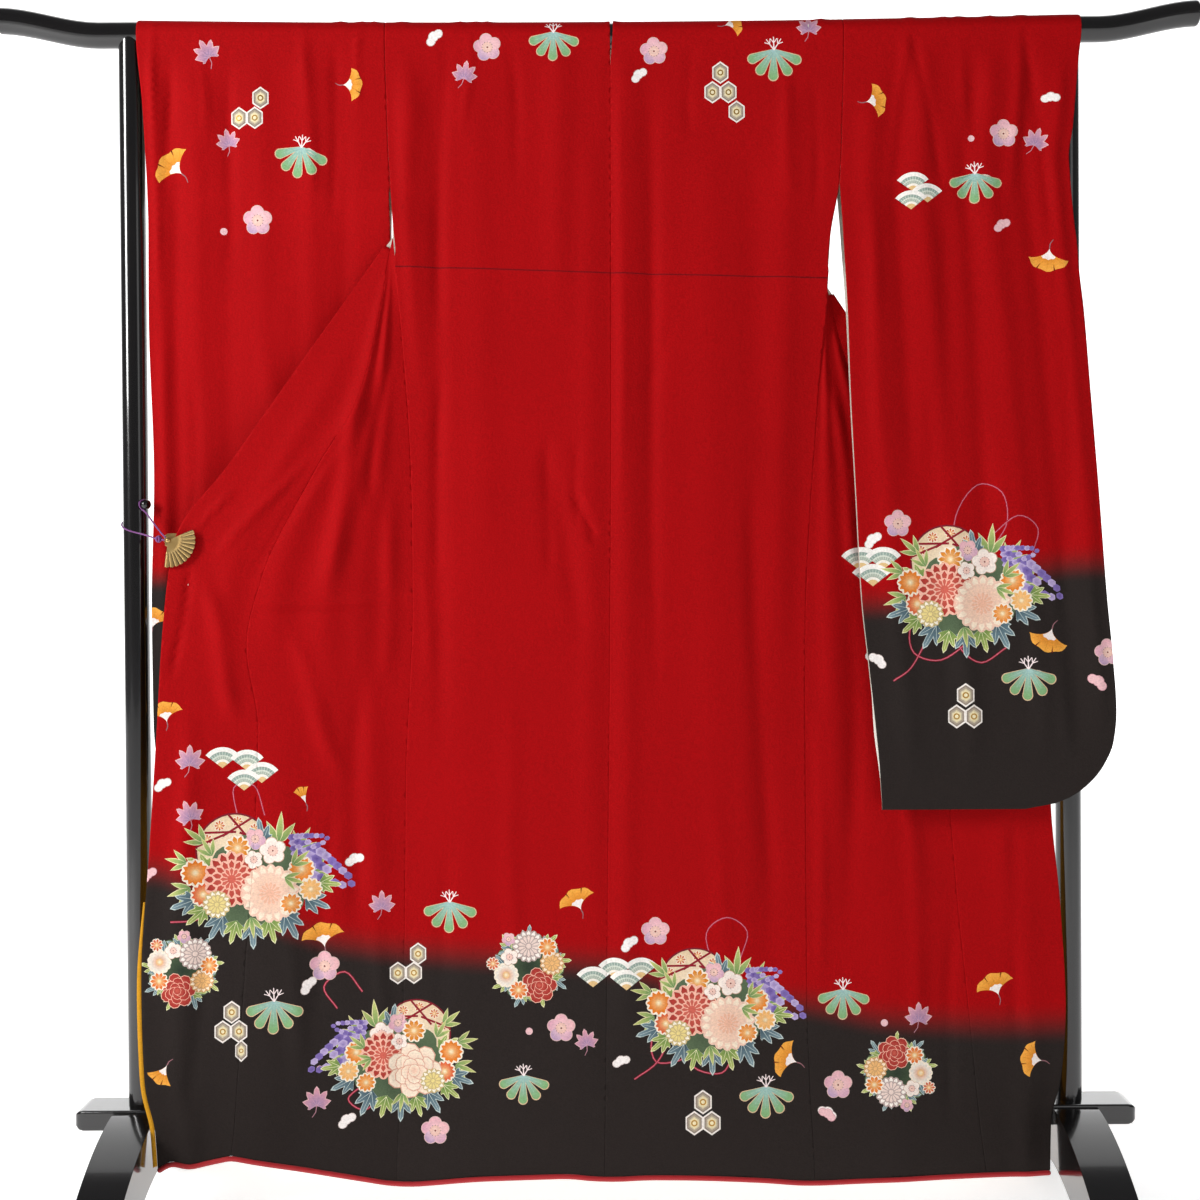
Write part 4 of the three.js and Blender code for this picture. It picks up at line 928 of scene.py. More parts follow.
def flower_basket(art, x, z, size, flip, mix):
    """A wide arrangement of my own layout: a cream round behind, flowers low, sprays above."""
    k = size / 200

    def at(dx, dz):
        return x + flip * dx * k, z + dz * k

    def way(a):
        return a if flip > 0 else 180 - a
    drum = at(30, 34)
    art.lay(disc(52 * k, 36) + drum, "#7a1f2c")
    art.lay(disc(49.5 * k, 36) + drum, "#efdcc0", "#e3c8a4", drum, 50 * k)
    for a in (15, 48, 84, 120, 156):
        small_mum(art, *heading(a, 40 * k, drum), 8 * k, "#c8643c", petals=8)
    for a, b in ((8, 75), (62, 128), (100, 30), (150, 85), (172, 110)):
        stroke(art, [heading(a, 51 * k, drum), heading(b, 26 * k, drum)], 3.0 * k, "#8f1f2e")
    art.lay(rosette(11, 70 * k, 22 * k, 8, at(2, -12)), "#3e4a3c", "#5d6f52", at(2, -12), 70 * k)
    for dx, dz, length, a in [(-52, 30, 40, 120), (-30, 44, 44, 95), (-74, 4, 36, 165), (70, 46, 34, 40),
                              (92, 20, 32, 10), (88, -14, 34, -20)]:
        spray(art, *at(dx, dz), length * k, way(a))
    wisteria(art, *at(-62, 26), 84 * k, way(212))
    wisteria(art, *at(-44, 40), 56 * k, way(170))
    for dx, dz, length, a in [(-66, -32, 36, 205), (-38, -52, 40, 245), (6, -62, 38, 268),
                              (46, -54, 38, 300), (82, -30, 36, 340), (-8, 46, 34, 80)]:
        leaf(art, *at(dx, dz), length * k, way(a))
    for dx, dz, length, a in [(-84, -12, 30, 185), (-16, -60, 34, 255), (28, -62, 32, 285),
                              (70, -44, 32, 320), (64, 10, 34, 30)]:
        leaf(art, *at(dx, dz), length * k, way(a), *GREEN_LEAF)
    small_mum(art, *at(82, 6), 19 * k, ORANGE)
    small_mum(art, *at(72, -24), 17 * k, "#d9633a", petals=13)
    small_mum(art, *at(-60, 8), 18 * k, "#e7862e")
    small_mum(art, *at(-72, -20), 16 * k, "#efb36a", petals=11)
    plum(art, *at(-22, 34), 38 * k, 10, white=True)
    plum(art, *at(2, 50), 30 * k, 40)
    small_mum(art, *at(26, 38), 18 * k, "#d98427", petals=10)
    if mix == 0:
        mum(art, *at(34, -4), 38 * k, CORAL, DEEP_CORAL, "#f0b9a4", 16, 3)
        mum(art, *at(-18, -24), 40 * k, PINK_CREAM, CREAM, "#ecc6b0", 18, 3, 8)
    else:
        mum(art, *at(-20, 2), 36 * k, CORAL, DEEP_CORAL, "#f0b9a4", 16, 3)
        peony(art, *at(26, -22), 42 * k, PINK_CREAM, CREAM, "#dba38c")
    small_mum(art, *at(-46, -38), 15 * k, "#e58a35", petals=11)
    mum(art, *at(54, -38), 19 * k, "#e8d58c", WHITE_PETAL, "#c9b27c", 13, 2)
    for dx, dz, length, a in [(-48, 14, 30, 140), (-38, -2, 28, 200), (8, -56, 30, 262),
                              (60, 28, 30, 60)]:
        spray(art, *at(dx, dz), length * k, way(a))
    plum(art, *at(4, 22), 26 * k, 20, white=True)


def flower_ring(art, x, z, size, turn=0):
    """A wreath of mixed flowers with leaves between them."""
    r = size / 2
    art.lay(rosette(9, 0.86 * r, 0.3 * r, turn, (x, z)), "#2f3a30", "#5a6b4c", (x, z), 0.86 * r)

    def spot(a, out):
        return heading(turn + a, out * r, (x, z))
    for k in range(9):
        a = 40 * k + 14
        first, second = (BLUE_LEAF, GREEN_LEAF) if k % 2 else (GREEN_LEAF, BLUE_LEAF)
        leaf(art, *spot(a, 0.62), 0.44 * r, turn + a - 12, *first)
        leaf(art, *spot(a, 0.62), 0.36 * r, turn + a + 66, *second)
    peony(art, *spot(258, 0.50), 0.44 * r, CORAL, DEEP_CORAL, "#f0b9a4")
    mum(art, *spot(52, 0.52), 0.40 * r, "#ecd6cc", WHITE_PETAL, "#b9a39c", 16, 2)
    small_mum(art, *spot(158, 0.60), 0.31 * r, "#e9e0d4", "#d9822f", petals=13)
    mum(art, *spot(330, 0.56), 0.30 * r, "#ecb877", CREAM, "#cf9d6a", 13, 2)
    plum(art, *spot(112, 0.55), 0.44 * r, 15, white=True)
    small_mum(art, *spot(8, 0.66), 0.24 * r, ORANGE, petals=10)
    small_mum(art, *spot(204, 0.62), 0.24 * r, "#e0702c", petals=10)
    plum(art, *spot(86, 0.86), 0.34 * r, 30)
    small_mum(art, *spot(134, 0.90), 0.17 * r, "#cf5a3c", petals=9)


print("arrangements ready")

# %% [markdown]
# ## Where the motifs lie
# Each row is a motif with its middle, its size and its turn. A hexagon stands upright, so it has a
# width and a height instead, where they differ from the usual. Motifs cluster at the shoulders
# and along the dye line, and leave the middle of the garment bare. A thin dark line across the
# back is painted shade, standing for the shadow at the edge of the tuck taken up at the waist.

# %% Motif places
# motif x z size turn
PLACES = [
    # left sleeve, top
    (maple, -536, 1608, 44, 30), (ginkgo, -341, 1567, 44, 0), (hexagon, -465, 1549),
    (hexagon, -495, 1522), (hexagon, -473, 1522), (maple, -510, 1487, 39, 12),
    (bamboo_leaf, -409, 1467, 74, -8),
    (ginkgo, -586, 1456, 58, 140), (plum, -472, 1383, 41, 0), (dot, -520, 1369, 10),
    (ginkgo, -622, 833, 46, 80),
    # back, top
    (cloud, -226, 1631, 26, 45), (plum, -153, 1617, 39, 10), (maple, -185, 1576, 41, -10),
    (bamboo_leaf, -62, 1624, 70, 0), (plum, 76, 1610, 39, 5), (cloud, 55, 1577, 24, 40),
    (hexagon, 167, 1580), (hexagon, 156, 1553), (hexagon, 178, 1553), (hexagon, 189, 1526),
    (ginkgo, 183, 1649, 40, 20), (bamboo_leaf, 241, 1597, 76, 0), (maple, 289, 1638, 40, 0),
    # right sleeve, top
    (ginkgo, 378, 1540, 46, 10), (cloud, 620, 1542, 24, 0), (plum, 555, 1493, 40, 0),
    (maple, 598, 1479, 42, -20), (dot, 511, 1487, 9), (wave_scale, 430, 1428, 28),
    (wave_scale, 449, 1412, 28), (wave_scale, 427, 1403, 28), (bamboo_leaf, 515, 1424, 72, 0),
    (ginkgo, 613, 1320, 52, 262),
    # right sleeve, low
    (plum, 403, 958, 38, 0), (cloud, 369, 936, 26, 40), (wave_scale, 354, 912, 32),
    (wave_scale, 383, 912, 32), (wave_scale, 369, 889, 32), (ginkgo, 608, 801, 54, 250),
    (plum, 688, 781, 38, 8), (bamboo_leaf, 580, 745, 76, 0), (cloud, 375, 772, 26, -40),
    (hexagon, 494, 724, 23, 33), (hexagon, 482, 695, 23, 33), (hexagon, 505, 695, 23, 33),
    # front left
    (ginkgo, -595, 706, 46, 100), (maple, -562, 638, 46, 0), (maple, -561, 565, 44, 20),
    (wave_scale, -519, 646, 30), (wave_scale, -486, 642, 30), (wave_scale, -466, 625, 30),
    (wave_scale, -490, 615, 30), (cloud, -599, 610, 24, 30), (ginkgo, -410, 590, 40, 110, 26),
    (cloud, -342, 503, 26, 20), (maple, -305, 437, 42, 0), (ginkgo, -385, 398, 56, 100),
    (plum, -383, 358, 42, 0), (cloud, -405, 333, 26, 50), (bamboo_leaf, -450, 299, 78, 0),
    (maple, -394, 171, 44, 0), (cloud, -354, 147, 26, 35), (dot, -390, 219, 9), (hexagon, -507, 300),
    (hexagon, -519, 274), (hexagon, -497, 274), (hexagon, -494, 248, 16, 30),
    (ginkgo, -598, 222, 46, 240, 40),
    # back, low
    (hexagon, -256, 372), (hexagon, -284, 346), (hexagon, -262, 346),
    (bamboo_leaf, -212, 429, 74, 0), (ginkgo, -37, 443, 50, 115), (dot, -104, 265, 10),
    (plum, -60, 269, 40, 0), (maple, -25, 247, 38, 10), (bamboo_leaf, -112, 191, 70, 0),
    (plum, -234, 129, 40, 0), (wave_scale, -16, 340, 30), (wave_scale, 14, 352, 30),
    (wave_scale, 30, 336, 30), (wave_scale, 50, 352, 30), (cloud, 34, 385, 26, 40),
    (plum, 70, 401, 40, 0), (cloud, 22, 223, 24, 20), (ginkgo, 251, 224, 52, 160),
    (hexagon, 134, 166, 24, 34), (hexagon, 122, 137, 24, 34), (hexagon, 146, 137, 24, 34),
    (bamboo_leaf, 221, 172, 76, 0),
    # right front, low
    (bamboo_leaf, 328, 305, 72, 0), (dot, 384, 273, 10), (maple, 431, 277, 44, 0),
    (plum, 320, 188, 40, 0), (cloud, 305, 150, 26, -30), (ginkgo, 538, 321, 52, 110),
    (ginkgo, 588, 222, 48, 170),
]
PINK_CLOUDS = [(674, 741, 28, -40), (550, 1366, 24, 30), (-618, 488, 24, 40), (305, 148, 24, -35)]
# paths of crimson cord, each beside an arrangement
CORDS = [
    [(478, 900), (482, 968), (512, 1010), (545, 1000), (552, 960), (534, 926)],
    [(530, 940), (566, 968), (594, 950), (584, 912)],
    [(448, 842), (420, 818), (424, 782), (462, 772), (500, 800), (512, 824)],
    [(454, 828), (440, 796), (420, 762), (396, 744)], [(488, 824), (486, 790), (516, 768), (552, 790)],
    [(-520, 500), (-560, 480), (-566, 452), (-540, 446), (-512, 470)],
    [(-512, 456), (-548, 428), (-588, 424)], [(-498, 560), (-504, 604), (-476, 606), (-462, 566)],
    [(150, 350), (140, 398), (168, 420), (196, 400), (186, 362)],
    [(100, 268), (66, 256), (70, 222), (108, 226), (130, 250)], [(92, 262), (72, 222), (40, 198)],
    [(120, 246), (122, 214), (160, 206), (178, 236)],
    [(-366, 300), (-384, 330), (-356, 350), (-332, 322)],
    [(-330, 196), (-352, 176), (-330, 160), (-306, 180)],
]
# painted shade: a dark line, darkest in its middle, where the folded edge of the waist tuck throws shade
TUCK_SHADE_LINE = curve([(-281, 1316), (-150, 1312), (0, 1306), (160, 1301), (317, 1297)], 26)
for wide, tone in ((3.0, "#960b12"), (1.0, "#64090e")):
    stroke(FRONT_PRINT, TUCK_SHADE_LINE, wide, tone)
cord_loops(FRONT_PRINT, CORDS)
for motif, *where in PLACES:
    motif(FRONT_PRINT, *where)
for x, z, size, turn in PINK_CLOUDS:
    cloud(FRONT_PRINT, x, z, size, turn, pink=True)
flower_basket(FRONT_PRINT, 500, 872, 196, -1, 0)
flower_basket(FRONT_PRINT, -473, 484, 200, -1, 0)
flower_basket(FRONT_PRINT, -286, 232, 182, 1, 1)
flower_basket(FRONT_PRINT, 152, 297, 190, -1, 0)
flower_ring(FRONT_PRINT, -573, 358, 108)
flower_ring(FRONT_PRINT, -103, 353, 112, 40)
flower_ring(FRONT_PRINT, 401, 205, 108, 200)
print("painted shapes on the seen side:", len(FRONT_PRINT.shapes))

# %% Motifs on the hidden sides
REAR_PLACES = [
    (plum, -540, 1560, 40, 0), (maple, -420, 1600, 42, 10), (bamboo_leaf, -500, 1430, 72, 0),
    (ginkgo, -380, 1480, 50, 60), (hexagon, -590, 1500), (hexagon, -579, 1473), (hexagon, -601, 1473),
    (cloud, -350, 1380, 26, 20), (plum, -360, 960, 38, 0), (ginkgo, -350, 700, 50, 200),
    (bamboo_leaf, -560, 720, 74, 0), (hexagon, -440, 690), (hexagon, -451, 663), (hexagon, -429, 663),
    (maple, 420, 1590, 42, 0), (plum, 520, 1540, 40, 0), (ginkgo, 600, 1460, 50, 100),
    (bamboo_leaf, 470, 1400, 72, 0), (cloud, 560, 1340, 26, 30), (plum, 600, 960, 38, 0),
    (maple, 420, 930, 42, 0), (bamboo_leaf, 440, 720, 74, 0), (ginkgo, 650, 720, 50, 150),
]
for motif, *where in REAR_PLACES:
    motif(REAR_PRINT, *where)
flower_basket(REAR_PRINT, -460, 850, 190, -1, 1)
flower_ring(REAR_PRINT, 540, 830, 112, 30)
print("painted shapes on the hidden side:", len(REAR_PRINT.shapes))

# %% [markdown]
# ## Cutting a panel
# The outline, an even grid of points and all printed outlines go into one flat triangulation, so
# every painted edge is an edge of the mesh and stays sharp from any distance. Each corner takes
# the colour of the topmost shape it lies in. Normals are measured from the lifted surface.

# %% Flat outline and printed patch
STEP, FINE_STEP = 7.5, 2.4
HEM_TURN = 1.8                  # a second line of points runs this far inside the outline


def borders(triangles):
    """Directed edges that only one triangle has."""
    edges = np.concatenate([triangles[:, [0, 1]], triangles[:, [1, 2]], triangles[:, [2, 0]]])
    top = edges.max() + 1
    there, back = edges[:, 0] * top + edges[:, 1], edges[:, 1] * top + edges[:, 0]
    return edges[~np.isin(there, back)]


def flat_outline(left, right, low, high):
    """Counterclockwise outline: left(s), right(s) give x, low(x), high(x) give s."""
    def ends(edge):
        bottom = float(low(edge(600.0)))
        for _ in range(6):
            bottom = float(low(edge(bottom)))
        return bottom, float(high(edge(2000.0)))

    def run(a, b):
        return np.linspace(a, b, max(2, int(abs(b - a) / STEP)) + 1)[:-1]

    (left_low, left_high), (right_low, right_high) = ends(left), ends(right)
    along_low = run(float(left(left_low)), float(right(right_low)))
    up = run(right_low, right_high)
    along_high = run(float(right(right_high)), float(left(left_high)))
    down = run(left_high, left_low)
    return np.concatenate([
        np.stack([along_low, low(along_low)], -1), np.stack([right(up), up], -1),
        np.stack([along_high, high(along_high)], -1), np.stack([left(down), down], -1)])


def patch_normals(lift, p, face):
    """Outward normals, by stepping towards the middle of the patch."""
    middle = (p.min(0) + p.max(0)) / 2
    dx = np.where(p[:, 0] > middle[0], -0.6, 0.6)
    ds = np.where(p[:, 1] > middle[1], -0.6, 0.6)
    at = lift(p[:, 0], p[:, 1])
    across = lift(p[:, 0] + dx, p[:, 1]) - at
    up = lift(p[:, 0], p[:, 1] + ds) - at
    n = np.cross(across, up) * (np.sign(dx) * np.sign(ds) * face)[:, None]
    return at, n / np.linalg.norm(n, axis=1, keepdims=True)


def border_loop(triangles):
    """The outline of a flat triangulation, as indices in order."""
    after = dict(borders(triangles).tolist())
    loop = [min(after)]
    while after[loop[-1]] != loop[0]:
        loop.append(after[loop[-1]])
    return np.array(loop)


def plain_skin(points, triangles, grid):
    """The same outline cut without print: new points and triangles, for the lining."""
    loop = border_loop(triangles)
    flat = [Vector(q) for q in np.concatenate([points[loop], grid])]
    made, _, faces, given, _, source = delaunay_2d_cdt(
        flat, [], [list(range(len(loop)))], 1, 1e-5, True)
    faces = np.array([face for face, inside in zip(faces, source) if inside])
    index, extra = np.full(len(made), -1), []
    for i in np.unique(faces):
        on_loop = [k for k in given[i] if k < len(loop)]
        index[i] = loop[on_loop[0]] if on_loop else len(points) + len(extra)
        if not on_loop:
            extra.append(made[i][:])
    return np.array(extra), index[faces]


def printed_patch(outline, lift, ground, art, face=1, dense=None):
    """A panel cut on the flat and lifted; dense is a box on it that gets a finer grid."""
    low, high = outline.min(0), outline.max(0)
    run = np.roll(outline, -1, axis=0) - np.roll(outline, 1, axis=0)
    inward = np.stack([-run[:, 1], run[:, 0]], -1) / np.linalg.norm(run, axis=1)[:, None]
    grid = [outline + HEM_TURN * inward]
    for i, s in enumerate(np.arange(low[1] + STEP / 2, high[1], STEP * 0.87)):
        row = np.arange(low[0] + STEP * (0.25 + 0.5 * (i % 2)), high[0], STEP)
        grid.append(np.column_stack([row, np.full(len(row), s)]))
    if dense:
        xs, zs = (np.arange(dense[k], dense[k + 2], FINE_STEP) for k in (0, 1))
        grid.append(np.stack(np.meshgrid(xs, zs), -1).reshape(-1, 2))
    grid = np.concatenate(grid)
    parts, faces, shapes = [outline, grid], [list(range(len(outline)))], [None]
    count = len(outline) + len(grid)
    for shape in art.shapes:
        if (shape["high"] < low).any() or (shape["low"] > high).any():
            continue
        parts.append(shape["points"])
        faces.append(list(range(count, count + len(shape["points"]))))
        shapes.append(shape)
        count += len(shape["points"])
    flat = [Vector(q) for q in np.concatenate(parts)]
    points, _, triangles, _, _, source = delaunay_2d_cdt(flat, [], faces, 1, 1e-5, True)
    keep = [i for i, shapes_here in enumerate(source) if 0 in shapes_here]
    triangles = np.array([triangles[i] for i in keep])
    top = np.array([max(source[i]) for i in keep])
    used, triangles = np.unique(triangles, return_inverse=True)
    triangles = triangles.reshape(-1, 3)
    points = np.array([points[i][:] for i in used])
    corners = points[triangles]
    colours = np.empty((len(triangles), 3, 4))
    for k in np.unique(top):
        here = top == k
        colours[here] = ground(corners[here]) if k == 0 else painted(shapes[k], corners[here])
    extra, lining = plain_skin(points, triangles, grid)
    at, normals = patch_normals(lift, np.concatenate([points, extra]), face)
    if face < 0:
        triangles, colours, lining = triangles[:, ::-1], colours[:, ::-1], lining[:, ::-1]
    return {"points": at, "normals": normals, "triangles": triangles, "colours": colours,
            "lining": lining}


def grid_patch(grid, outward, colour):
    """A patch from rows of points, with one spare row at each end for the normals."""
    rows, columns = grid.shape[0] - 2, grid.shape[1]
    n = np.cross(np.gradient(grid, axis=0), np.gradient(grid, axis=1))[1:-1].reshape(-1, 3)
    n = n / np.linalg.norm(n, axis=1, keepdims=True) * outward
    p = grid[1:-1].reshape(-1, 3)
    i = (np.arange(rows - 1)[:, None] * columns + np.arange(columns - 1)).ravel()
    a, b, c, d = i, i + 1, i + columns + 1, i + columns
    triangles = np.concatenate([np.stack([a, b, c], -1), np.stack([a, c, d], -1)])
    t = p[triangles]
    facing = np.cross(t[:, 1] - t[:, 0], t[:, 2] - t[:, 0])
    if (facing * n[triangles[:, 0]]).sum() < 0:
        triangles = triangles[:, ::-1]
    return {"points": p, "normals": n, "triangles": triangles, "colours": colour(p[triangles]),
            "lining": triangles}


print("panels are cut at", STEP, "mm")

# %% [markdown]
# ## Sewing patches into a shell
# A node of cloth is made of one or more patches. Their shared borders are sewn point to point.
# The sheet then gets its thickness: a printed skin, a lining skin on the other side, and a narrow
# rim all round, so that the piece is one closed shell, as cloth with a lining is.

# %% Sew and shell
SEW_REACH = 0.1


def sew(patches):
    """One sheet from several patches; border points closer than SEW_REACH become one."""
    points = [patches[0]["points"]]
    normals = [patches[0]["normals"].copy()]
    triangles, colours = [patches[0]["triangles"]], [patches[0]["colours"]]
    linings = [patches[0]["lining"]]
    edge = sorted(set(borders(triangles[0]).ravel().tolist()))
    joined = 0
    for patch in patches[1:]:
        known, so_far = np.concatenate(points), np.concatenate(normals)
        tree = KDTree(len(edge))
        for i in edge:
            tree.insert(known[i], i)
        tree.balance()
        new_edge = sorted(set(borders(patch["triangles"]).ravel().tolist()))
        index = np.full(len(patch["points"]), -1)
        for i in new_edge:
            _, j, gap = tree.find(patch["points"][i])
            if gap < SEW_REACH:
                index[i] = j
                so_far[j] = so_far[j] + patch["normals"][i]
                joined += 1
        fresh = np.flatnonzero(index < 0)
        index[fresh] = len(known) + np.arange(len(fresh))
        points, normals = [known, patch["points"][fresh]], [so_far, patch["normals"][fresh]]
        triangles.append(index[patch["triangles"]])
        linings.append(index[patch["lining"]])
        colours.append(patch["colours"])
        edge += [int(index[i]) for i in new_edge if index[i] >= len(known)]
    p, n = np.concatenate(points), np.concatenate(normals)
    t, c, under = np.concatenate(triangles), np.concatenate(colours), np.concatenate(linings)
    good, whole = ((f[:, 0] != f[:, 1]) & (f[:, 1] != f[:, 2]) & (f[:, 2] != f[:, 0])
                   for f in (t, under))
    n = n / np.linalg.norm(n, axis=1, keepdims=True)
    return p, n, t[good], c[good], under[whole], joined


EDGE_DIP, EDGE_TILT = 0.45, 0.8     # at the rim the printed skin dips and its normal leans out
WHITE_LINING, GOLD_LINING = "#ded8cc", "#c98a1c"
LINING_SEAM = 905


def shell(name, patches, lining, thickness=WALL):
    """A closed piece of cloth: printed outside, lining(points) gives the colours inside."""
    p, n, t, colours, under, joined = sew(patches)
    count = len(p)
    half = thickness / 2
    edge = borders(t)
    out = np.zeros_like(p)
    for end in (0, 1):
        np.add.at(out, edge[:, end], np.cross(p[edge[:, 1]] - p[edge[:, 0]], n[edge[:, end]]))
    length = np.linalg.norm(out, axis=1, keepdims=True)
    on_edge = length > 1e-9
    out = out / np.where(on_edge, length, 1)
    shown = n + EDGE_TILT * out
    shown = shown / np.linalg.norm(shown, axis=1, keepdims=True)
    vertices = np.concatenate([p + n * (half - EDGE_DIP * on_edge), p - n * half]) * MM
    rim = np.stack([edge[:, 1], edge[:, 0], edge[:, 0] + count, edge[:, 1] + count], -1)
    mesh = bpy.data.meshes.new(name)
    used = np.zeros(2 * count, bool)
    for part in (t, under + count, rim):
        used[part] = True
    new = np.cumsum(used) - 1
    faces = [new[face].tolist() for face in (t, under[:, ::-1] + count, rim)]
    faces = faces[0] + faces[1] + faces[2]
    mesh.from_pydata(vertices[used].tolist(), [], faces)
    own = np.zeros((count, 4))
    own[t.ravel()] = colours.reshape(-1, 4)
    inside = np.zeros((len(under), 3, 4))
    inside[..., :3] = lining(p[under[:, ::-1]])
    all_colours = np.concatenate([
        colours.reshape(-1, 4), inside.reshape(-1, 4), own[(rim % count).ravel()]])
    layer = mesh.color_attributes.new("print", "FLOAT_COLOR", "CORNER")
    layer.data.foreach_set("color", all_colours.astype(np.float32).ravel())
    slot = np.concatenate([np.zeros(len(t)), np.ones(len(under)), np.zeros(len(rim))])
    mesh.polygons.foreach_set("material_index", slot.astype(np.int32))
    mesh.polygons.foreach_set("use_smooth", np.ones(len(faces), bool))
    corner = vertices[rim]
    rim_n = np.cross(corner[:, 1] - corner[:, 0], corner[:, 3] - corner[:, 0])
    rim_n = rim_n / np.maximum(np.linalg.norm(rim_n, axis=1, keepdims=True), 1e-12)
    loops = np.concatenate([
        shown[t.ravel()], -n[under[:, ::-1].ravel()], np.repeat(rim_n, 4, axis=0)])
    mesh.normals_split_custom_set(loops.tolist())
    print(f"{name}: {len(faces)} faces, {joined} points sewn, {len(edge)} rim edges")
    return placed(name, mesh)


def plain(text):
    rgb = dye(text)
    return lambda p: np.broadcast_to(rgb, p.shape[:-1] + (3,))


def body_lining(p):
    """The body is lined with white above and with gold below the waist."""
    t = (p[..., 2:] < LINING_SEAM).astype(float)
    return lerp(dye(WHITE_LINING), dye(GOLD_LINING), t)


def ground_colour(text):
    rgb = dye(text)
    return lambda p: np.concatenate([
        np.broadcast_to(rgb, p.shape[:-1] + (3,)), np.zeros(p.shape[:-1] + (1,))], -1)


print("shells are", WALL, "mm thick")

# %% [markdown]
# ## The garment's pieces
# Each body length is one piece of silk: up the back, over the bar, down behind it, and out to the
# front edge. The overlap is a narrower length sewn to it. Patches that face us carry the print.

# %% Body lengths and overlaps
TURN_STEP = 6                   # degrees between the rows that go over the bar
SIDE_TUCK = 0.4
ARMPIT = 1328
OVERLAP_FIRST = {-1: 5.25, 1: 6.25}
# x z to x z, where the pleats are tight and the panel gets extra points
PLEAT_BOXES = {-1: (-360, 1040, -282, 1325), 1: (300, 1040, 375, 1325)}


def add_piece(obj, node):
    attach(obj, "root")
    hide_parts(node)
    return obj


def top_edge(x):
    return bar_z(x) + QUARTER


def seam_reach(hand):
    """Heights, and how far out the back must reach there to meet the front's side edge."""
    edge = front_at(hand, np.linspace(THROAT[hand] - 1.5, LAST[hand], 140), 0)
    edge = edge[edge[:, 2] < ARMPIT]
    order = np.argsort(edge[:, 2])
    z, x = edge[order, 2], edge[order, 0]
    reach = np.maximum(hand * (x - side(hand, z)[0]) + SIDE_TUCK, 0)
    return np.append(z, z[-1] + 12), np.append(reach, 0)


def back_outline(hand):
    heights, reach = seam_reach(hand)

    def side_edge(s):
        z = np.minimum(s, 1640)
        return side(hand, z)[0] + hand * np.interp(z, heights, reach)

    def middle_edge(s):
        angle = np.degrees((s - bar_z(0)) / CLOTH_RADIUS)
        x = centre_edge(hand, np.minimum(s, 1640))
        return lerp(x, 90 * hand, smooth(80, 176, angle))
    left, right = (side_edge, middle_edge) if hand < 0 else (middle_edge, side_edge)
    return flat_outline(left, right, lambda x: HEM.read("z", x), top_edge)


def throat_rows(hand):
    """The row where the hidden part ends, and the spare one after it."""
    return [THROAT[hand], THROAT[hand] + 0.06]


def behind_the_bar(hand, outline):
    """Rows of points from the top of the bar down the hidden front, to the throat."""
    high = outline[np.abs(outline[:, 1] - top_edge(outline[:, 0])) < 1e-6]
    xs = np.sort(high[:, 0])
    xs = xs if hand < 0 else xs[::-1]
    share = (xs - xs[0]) / (xs[-1] - xs[0])
    rows = []
    for degrees in [86, 90] + list(range(96, 176, TURN_STEP)) + [176]:
        inner = lerp(xs[-1], 90 * hand, smooth(90, 176, degrees))
        x = lerp(xs[0], inner, share)
        rows.append(over_bar(x, math.radians(degrees)))
    for row in list(np.arange(0.16, THROAT[hand] - 0.02, 0.08)) + throat_rows(hand):
        rows.append(front_at(hand, row, K_SHARE * share))
    return np.array(rows), share


def front_outline(hand, first, last, share):
    """Outline of a front panel between two shares of its width, seen from the front."""
    rows = np.linspace(THROAT[hand], LAST[hand], 150)
    across = np.linspace(first, last, 24)

    def flat(row, u):
        return front_at(hand, row, u)[:, [0, 2]]
    top = flat(THROAT[hand], share[::-1])
    points = np.concatenate([
        top[:-1], flat(rows, first)[:-1], flat(LAST[hand], across)[:-1], flat(rows[::-1], last)[:-1]])
    area = np.cross(points, np.roll(points, -1, axis=0)).sum()
    return points if area > 0 else points[::-1]


def body(hand):
    outline = back_outline(hand)
    back = printed_patch(outline, lift_back(hand), dyed("body"), FRONT_PRINT)
    rows, share = behind_the_bar(hand, outline)
    hidden = grid_patch(rows, hand, ground_colour(BODY_RED))
    seen = front_outline(hand, 0, K_SHARE, K_SHARE * share)
    lift = lift_front(hand)
    front = printed_patch(seen, lift, dyed("body"), FRONT_PRINT, 1, PLEAT_BOXES[hand])
    print("front found to within", round(lift.worst, 3), "mm")
    name = "body_" + HAND_NAME[hand]
    return add_piece(shell(name + "_silk", [back, hidden, front], body_lining), name)


def overlap(hand):
    first = OVERLAP_FIRST[hand]
    share = np.linspace(K_SHARE, 1, 9)
    rows = [first - 0.05] + list(np.arange(first, THROAT[hand] - 0.02, 0.07)) + throat_rows(hand)
    hidden = grid_patch(
        np.array([front_at(hand, row, share) for row in rows]), hand, ground_colour(BODY_RED))
    seen = front_outline(hand, K_SHARE, 1.0, share)
    front = printed_patch(seen, lift_front(hand), dyed("body"), FRONT_PRINT, 1, PLEAT_BOXES[hand])
    name = "okumi_" + HAND_NAME[hand]
    return add_piece(shell(name + "_silk", [front, hidden], body_lining), name)


bodies = {hand: body(hand) for hand in (-1, 1)}
overlaps = {hand: overlap(hand) for hand in (-1, 1)}

# %% [markdown]
# ## Sleeves
# The sleeve is cut as two printed patches that meet on top of the bar: the face we see and the
# face behind. Its lower corner is round, and its edges are left as narrow lips.

